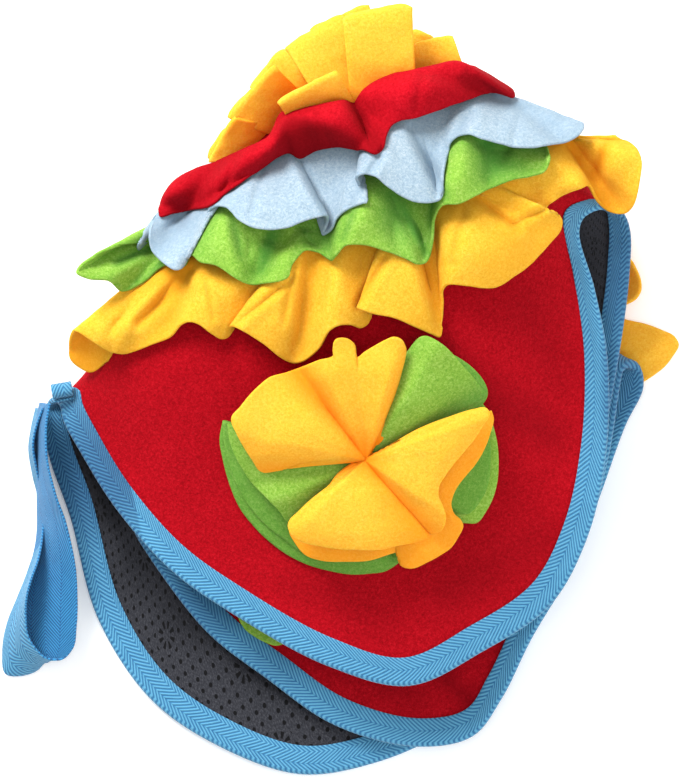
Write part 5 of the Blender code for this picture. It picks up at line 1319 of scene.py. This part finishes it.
def petal(tag, base, outline, waves, mat, name):
    o = np.array(outline, float)
    ang = np.degrees(np.unwrap(np.arctan2(-(o[:, 1] - MIDDLE_XY[1]), o[:, 0] - MIDDLE_XY[0])))
    rad = np.hypot(o[:, 0] - MIDDLE_XY[0], o[:, 1] - MIDDLE_XY[1])
    # walk the outline by its own length, so corners and ears stay sharp
    run = np.concatenate([[0], np.cumsum(np.hypot(*np.diff(o, axis=0).T))])
    m = max(60, int(run[-1] / 2.2))
    s = np.linspace(0, run[-1], m)
    edge = hermite(run, o, s)
    ea = np.degrees(np.arctan2(-(edge[:, 1] - MIDDLE_XY[1]), edge[:, 0] - MIDDLE_XY[0]))
    w = np.array(waves, float)
    ea = w[:, 0].mean() + (ea - w[:, 0].mean() + 180) % 360 - 180
    order = np.argsort(w[:, 0])
    w = w[order]
    le = np.interp(ea, w[:, 0], w[:, 1])
    lh = np.interp(ea, w[:, 0], w[:, 2])
    for _ in range(4):
        le[1:-1] = (le[:-2] + 2 * le[1:-1] + le[2:]) / 4
        lh[1:-1] = (lh[:-2] + 2 * lh[1:-1] + lh[2:]) / 4
    shares = np.concatenate([np.linspace(0.02, 0.9, 24), [0.94, 0.97, 0.99, 1.0]])
    rows = []
    calm = edge.copy()      # the outline without its small ears, for the inner part
    for _ in range(60):
        calm[1:-1] = (calm[:-2] + 2 * calm[1:-1] + calm[2:]) / 4
    for v in shares:
        turn = smooth_step(v, 0.55, 1.0)
        x = MIDDLE_XY[0] + (calm[:, 0] + (edge[:, 0] - calm[:, 0]) * turn - MIDDLE_XY[0]) * v
        y = MIDDLE_XY[1] + (calm[:, 1] + (edge[:, 1] - calm[:, 1]) * turn - MIDDLE_XY[1]) * v
        far = np.minimum(np.hypot(x - MIDDLE_XY[0], y - MIDDLE_XY[1]) / 112.0, 1.15)
        lift = base + lh * np.sin(math.pi * np.minimum(far, 1.0) * 0.85) + le * far**2 * 0.7
        lift = lift - 1.8 * smooth_step(v, 0.86, 1.0) * np.minimum(far * 2, 1.0)
        lift = lift - (base - 9.0) * 0.5 * np.clip(1 - far / 0.3, 0, 1)
        gx, gy = plan(x, y)
        rows.append(np.stack([gx, gy, base_z(x, y) + lift], axis=1))
    mid = np.array(rows)
    for _ in range(3):
        z = mid[..., 2]
        z[:, 1:-1] = (z[:, :-2] + 2 * z[:, 1:-1] + z[:, 2:]) / 4
        z[1:-1] = (z[:-2] + 2 * z[1:-1] + z[2:]) / 4
    # painted shade for the 'deep' attribute: where the petal stays low between its crests, the flower's middle, and
    # more on the lower petals
    top = w[:, 2].max()
    near = np.clip(1 - np.hypot(mid[..., 0] - plan(*MIDDLE_XY)[0], mid[..., 1] - plan(*MIDDLE_XY)[1]) / 15.0, 0, 1)
    deep = np.clip((top - lh) / 9.0, 0, 1)[None, :] ** 1.5 * 0.8 + near * 0.9
    if tag.endswith("2") or tag == "green_under":
        deep = deep + 0.5
    mid[..., 2] += rumple(mid, 0.5, 12.0, base) + rumple(mid, 0.3, 5.0, base + 3)
    n = grid_normals(mid, False)
    n[n[..., 2] < 0] *= -1
    return thin_grid(name, mid, PETAL_THICK, mat, n=n, deep=deep)


petals = {}
for tag, (base, outline, waves) in PETALS.items():
    petals[tag] = petal(tag, base, outline, waves, PETAL_MAT[tag.split("_")[0]], "petal_" + tag)


# ---- the low petals ----
def low_petal(name, outline, centre, z_of, mat, thick=PETAL_THICK):
    o = np.array(outline, float)
    run = np.concatenate([[0], np.cumsum(np.hypot(*np.diff(o, axis=0).T))])
    edge = hermite(run, o, np.linspace(0, run[-1], max(40, int(run[-1] / 2.0))))
    rows = []
    for v in np.concatenate([np.linspace(0.08, 0.9, 12), [0.95, 1.0]]):
        x = centre[0] + (edge[:, 0] - centre[0]) * v
        y = centre[1] + (edge[:, 1] - centre[1]) * v
        gx, gy = plan(x, y)
        rows.append(np.stack([gx, gy, z_of(x, y, v)], axis=1))
    mid = np.array(rows)
    n = grid_normals(mid, False)
    n[n[..., 2] < 0] *= -1
    return thin_grid(name, mid, thick, mat, n=n)


ct = np.linspace(KNOTS[[r[0] for r in RIM].index("C01")], KNOTS[[r[0] for r in RIM].index("C08")], 220)
cr = np.linspace(0.66, 1.0, 90)
CP = mat_point(ct[:, None] + 0 * cr, cr[None, :] + 0 * ct[:, None]).reshape(-1, 3)


def c_top(x, y):
    gx, gy = plan(x, y)
    return np.array([CP[np.argmin((CP[:, 0] - a) ** 2 + (CP[:, 1] - b) ** 2)][2] for a, b in zip(gx, gy)]) + RED_OUT


low_green = low_petal(
    "petal_green_low", [(246, 588), (242, 602), (239, 614), (242, 622), (247, 629), (255, 635), (266, 641), (278, 644),
                        (287, 640), (292, 628)], (300, 562),
    lambda x, y, v: c_top(x, y) + 1.9 + 2.2 * v * np.sin(np.radians(x * 5.0)) ** 2, GREEN)
low_yellow = low_petal(
    "petal_yellow_low", [(612, 392), (632, 386), (644, 380), (655, 373), (664, 366), (672, 356), (678, 344), (674, 337),
                         (662, 331), (645, 325), (630, 322), (614, 318)], (612, 354),
    lambda x, y, v: 1.1 + 3.2 * np.sin(np.pi * np.clip(v, 0, 1)) * (0.5 + 0.5 * np.cos(np.radians((y - 352) * 6.0))), YELLOW)
low_yellow2 = low_petal(
    "petal_yellow_low2", [(612, 312), (624, 304), (636, 297), (640, 290), (640, 281), (636, 270), (629, 259), (620, 254),
                          (608, 256)], (604, 284),
    lambda x, y, v: 4.0 + 6.0 * v**2 + 2.0 * np.sin(np.radians((y - 284) * 5.0)), YELLOW)

# ---- hanging loop and the rolled end ----
STRAP = [
    ((50, 404, 27.0), (40, 403, 6.0)), ((46, 430, 27.0), (34, 432, 4.5)), ((47, 460, 26.0), (35, 462, 3.5)),
    ((55, 494, 24.5), (37, 500, 2.5)), ((65, 524, 22.0), (37, 530, 1.8)), ((73, 560, 19.5), (31, 562, 1.5)),
    ((76, 592, 17.0), (20, 596, 1.3)), ((75, 628, 14.5), (17, 630, 1.3)), ((71, 650, 12.5), (24, 654, 1.3)),
    ((61, 660, 11.5), (38, 666, 1.3)), ((48, 660, 12.0), (35, 671, 1.3)), ((37, 652, 13.5), (20, 676, 1.3)),
    ((28, 638, 15.5), (5, 674, 1.4)), ((25, 618, 18.5), (2, 652, 1.6)), ((26, 600, 20.5), (7, 625, 2.0)),
    ((31, 580, 21.0), (17, 598, 2.2)), ((37, 560, 17.0), (27, 572, 1.8)), ((42, 530, 9.0), (37, 540, 1.3)),
    ((43, 500, 8.0), (38, 502, 1.3)), ((36, 470, 14.0), (32, 474, 2.6)), ((33, 445, 19.0), (28, 448, 4.0)),
    ((36, 425, 21.0), (31, 427, 4.6)), ((42, 408, 23.0), (35, 408, 5.0)),
]


def strap():
    near = np.array([(*plan(p[0][0], p[0][1]), p[0][2]) for p in STRAP])
    far = np.array([(*plan(p[1][0], p[1][1]), p[1][2]) for p in STRAP])
    k = np.concatenate([[0], np.cumsum(np.linalg.norm(np.diff((near + far) / 2, axis=0), axis=1) ** 0.7)])
    s = np.linspace(0, k[-1], 260)
    a, b = hermite(k, near, s), hermite(k, far, s)
    v = np.linspace(0, 1, 13)[:, None, None]
    mid = a[None] * (1 - v) + b[None] * v
    n = grid_normals(mid, False)
    mid = mid + n * (np.sin(v * math.pi) * 1.1) + n * rumple(mid, 0.5, 16.0, 2.0)[..., None]
    mid[..., 2] = np.maximum(mid[..., 2], 0.7)
    u = np.concatenate([[0], np.cumsum(np.linalg.norm(np.diff(mid[6], axis=0), axis=1))])
    uv = np.stack([np.broadcast_to(u, mid.shape[:2]), np.broadcast_to(np.linspace(0, 22.0, 13)[:, None], mid.shape[:2])],
                  axis=-1)
    return thin_grid("hanging_tape", mid, 1.1, TAPE_SHADED_SIDE, uv=uv, reverse=TAPE)


strap_ob = strap()


def tape_roll():
    turn = math.radians(-80.0)
    a = np.radians(np.linspace(-60.0, 350.0, 44))
    rad = np.linspace(2.3, 4.3, 44)
    c, s = math.cos(turn), math.sin(turn)
    x, y = plan(62, 391)
    ring = np.stack([x + rad * np.cos(a) * c, y + rad * np.cos(a) * s, 27.6 + rad * np.sin(a)], axis=1)
    half = np.array([-s, c, 0.0]) * 4.4
    v = np.linspace(-1, 1, 9)[:, None, None]
    mid = ring[None] + half * v
    u = np.concatenate([[0], np.cumsum(np.linalg.norm(np.diff(ring, axis=0), axis=1))])
    uv = np.stack([np.broadcast_to(u, mid.shape[:2]), np.broadcast_to(np.linspace(0, 9.0, 9)[:, None], mid.shape[:2])],
                  axis=-1)
    return thin_grid("tape_end", mid, TAPE_THICK, TAPE, uv=uv)


roll_ob = tape_roll()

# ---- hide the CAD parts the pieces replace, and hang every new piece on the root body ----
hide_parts("mat_top")
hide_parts("mat_backing")
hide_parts("edge_binding")
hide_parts("hanging_loop")
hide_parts("tape_roll")
for colour, ob in ruffles.items():
    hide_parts("ruffle_" + colour)
for tag, ob in loops.items():
    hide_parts("center_loop_" + tag)
for tag, ob in petals.items():
    if not tag.endswith("2"):
        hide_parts("flower_" + tag)
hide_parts("flower_green_low")
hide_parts("flower_yellow_low")
SLOTS = {"mat_fleece": "red_fleece", "mat_underside": "backing_fabric", "rim_binding": "blue_tape",
         "hanging_tape": "blue_tape", "tape_end": "blue_tape", "cloth_ruffle_yellow": "yellow_fleece",
         "cloth_ruffle_green": "green_fleece", "cloth_ruffle_light_blue": "light_blue_fleece",
         "cloth_ruffle_red": "ruffle_red_fleece"}
for ob in list(bpy.context.scene.objects):
    if ob.type == "MESH" and not ob.hide_render and "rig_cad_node" not in ob:
        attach(ob, "root")
        name = SLOTS.get(ob.name)
        if name is None and ob.name.startswith(("centre_strip", "petal_yellow")):
            name = "yellow_fleece"
        if name is None and ob.name.startswith("petal_green"):
            name = "green_fleece"


# ---- floor, light, camera ----
floor_mesh = bpy.data.meshes.new("floor")
floor_mesh.from_pydata([(-6, -6, 0), (6, -6, 0), (6, 6, 0), (-6, 6, 0)], [], [(0, 1, 2, 3)])
floor = bpy.data.objects.new("floor", floor_mesh)
bpy.context.scene.collection.objects.link(floor)
fmat, ft, fb_ = tree_of("floor_white")
fb_.inputs["Base Color"].default_value = (0.97, 0.97, 0.97, 1)
fb_.inputs["Roughness"].default_value = 1.0
fb_.inputs["Specular IOR Level"].default_value = 0.0
fb_.inputs["Emission Color"].default_value = (1.0, 1.0, 1.0, 1)
fb_.inputs["Emission Strength"].default_value = 0.13
floor_mesh.materials.append(fmat)

world = bpy.data.worlds.new("studio")
world.use_nodes = True
world.node_tree.nodes["Background"].inputs[0].default_value = (1.0, 1.0, 1.0, 1)
world.node_tree.nodes["Background"].inputs[1].default_value = 0.55
bpy.context.scene.world = world


def area_light(name, place, size, power, aim=(0, 0, 0.03)):
    data = bpy.data.lights.new(name, "AREA")
    data.size = size
    data.energy = power
    ob = bpy.data.objects.new(name, data)
    ob.location = place
    ob.rotation_euler = (Vector(aim) - Vector(place)).to_track_quat("-Z", "Y").to_euler()
    bpy.context.scene.collection.objects.link(ob)


area_light("key", (-1.15, 1.75, 1.55), 1.1, 105.0)
area_light("top", (0.2, -0.2, 2.6), 1.6, 22.0)
area_light("side", (1.9, -0.7, 1.1), 1.4, 22.0)

cam = bpy.data.cameras.new("camera")
cam_ob = bpy.data.objects.new("camera", cam)
bpy.context.scene.collection.objects.link(cam_ob)
bpy.context.scene.camera = cam_ob
DISTANCE = 8.0
cam.sensor_width = 36.0
cam.lens = 36.0 * DISTANCE / (777 * GRID)
cx, cy = plan(340.0, 388.5)
cam_ob.location = (cx * MM, cy * MM, DISTANCE + 0.03)
cam_ob.rotation_euler = (0, 0, 0)
cam.clip_start, cam.clip_end = 0.5, 30.0
bpy.context.scene.view_settings.view_transform = "Standard"
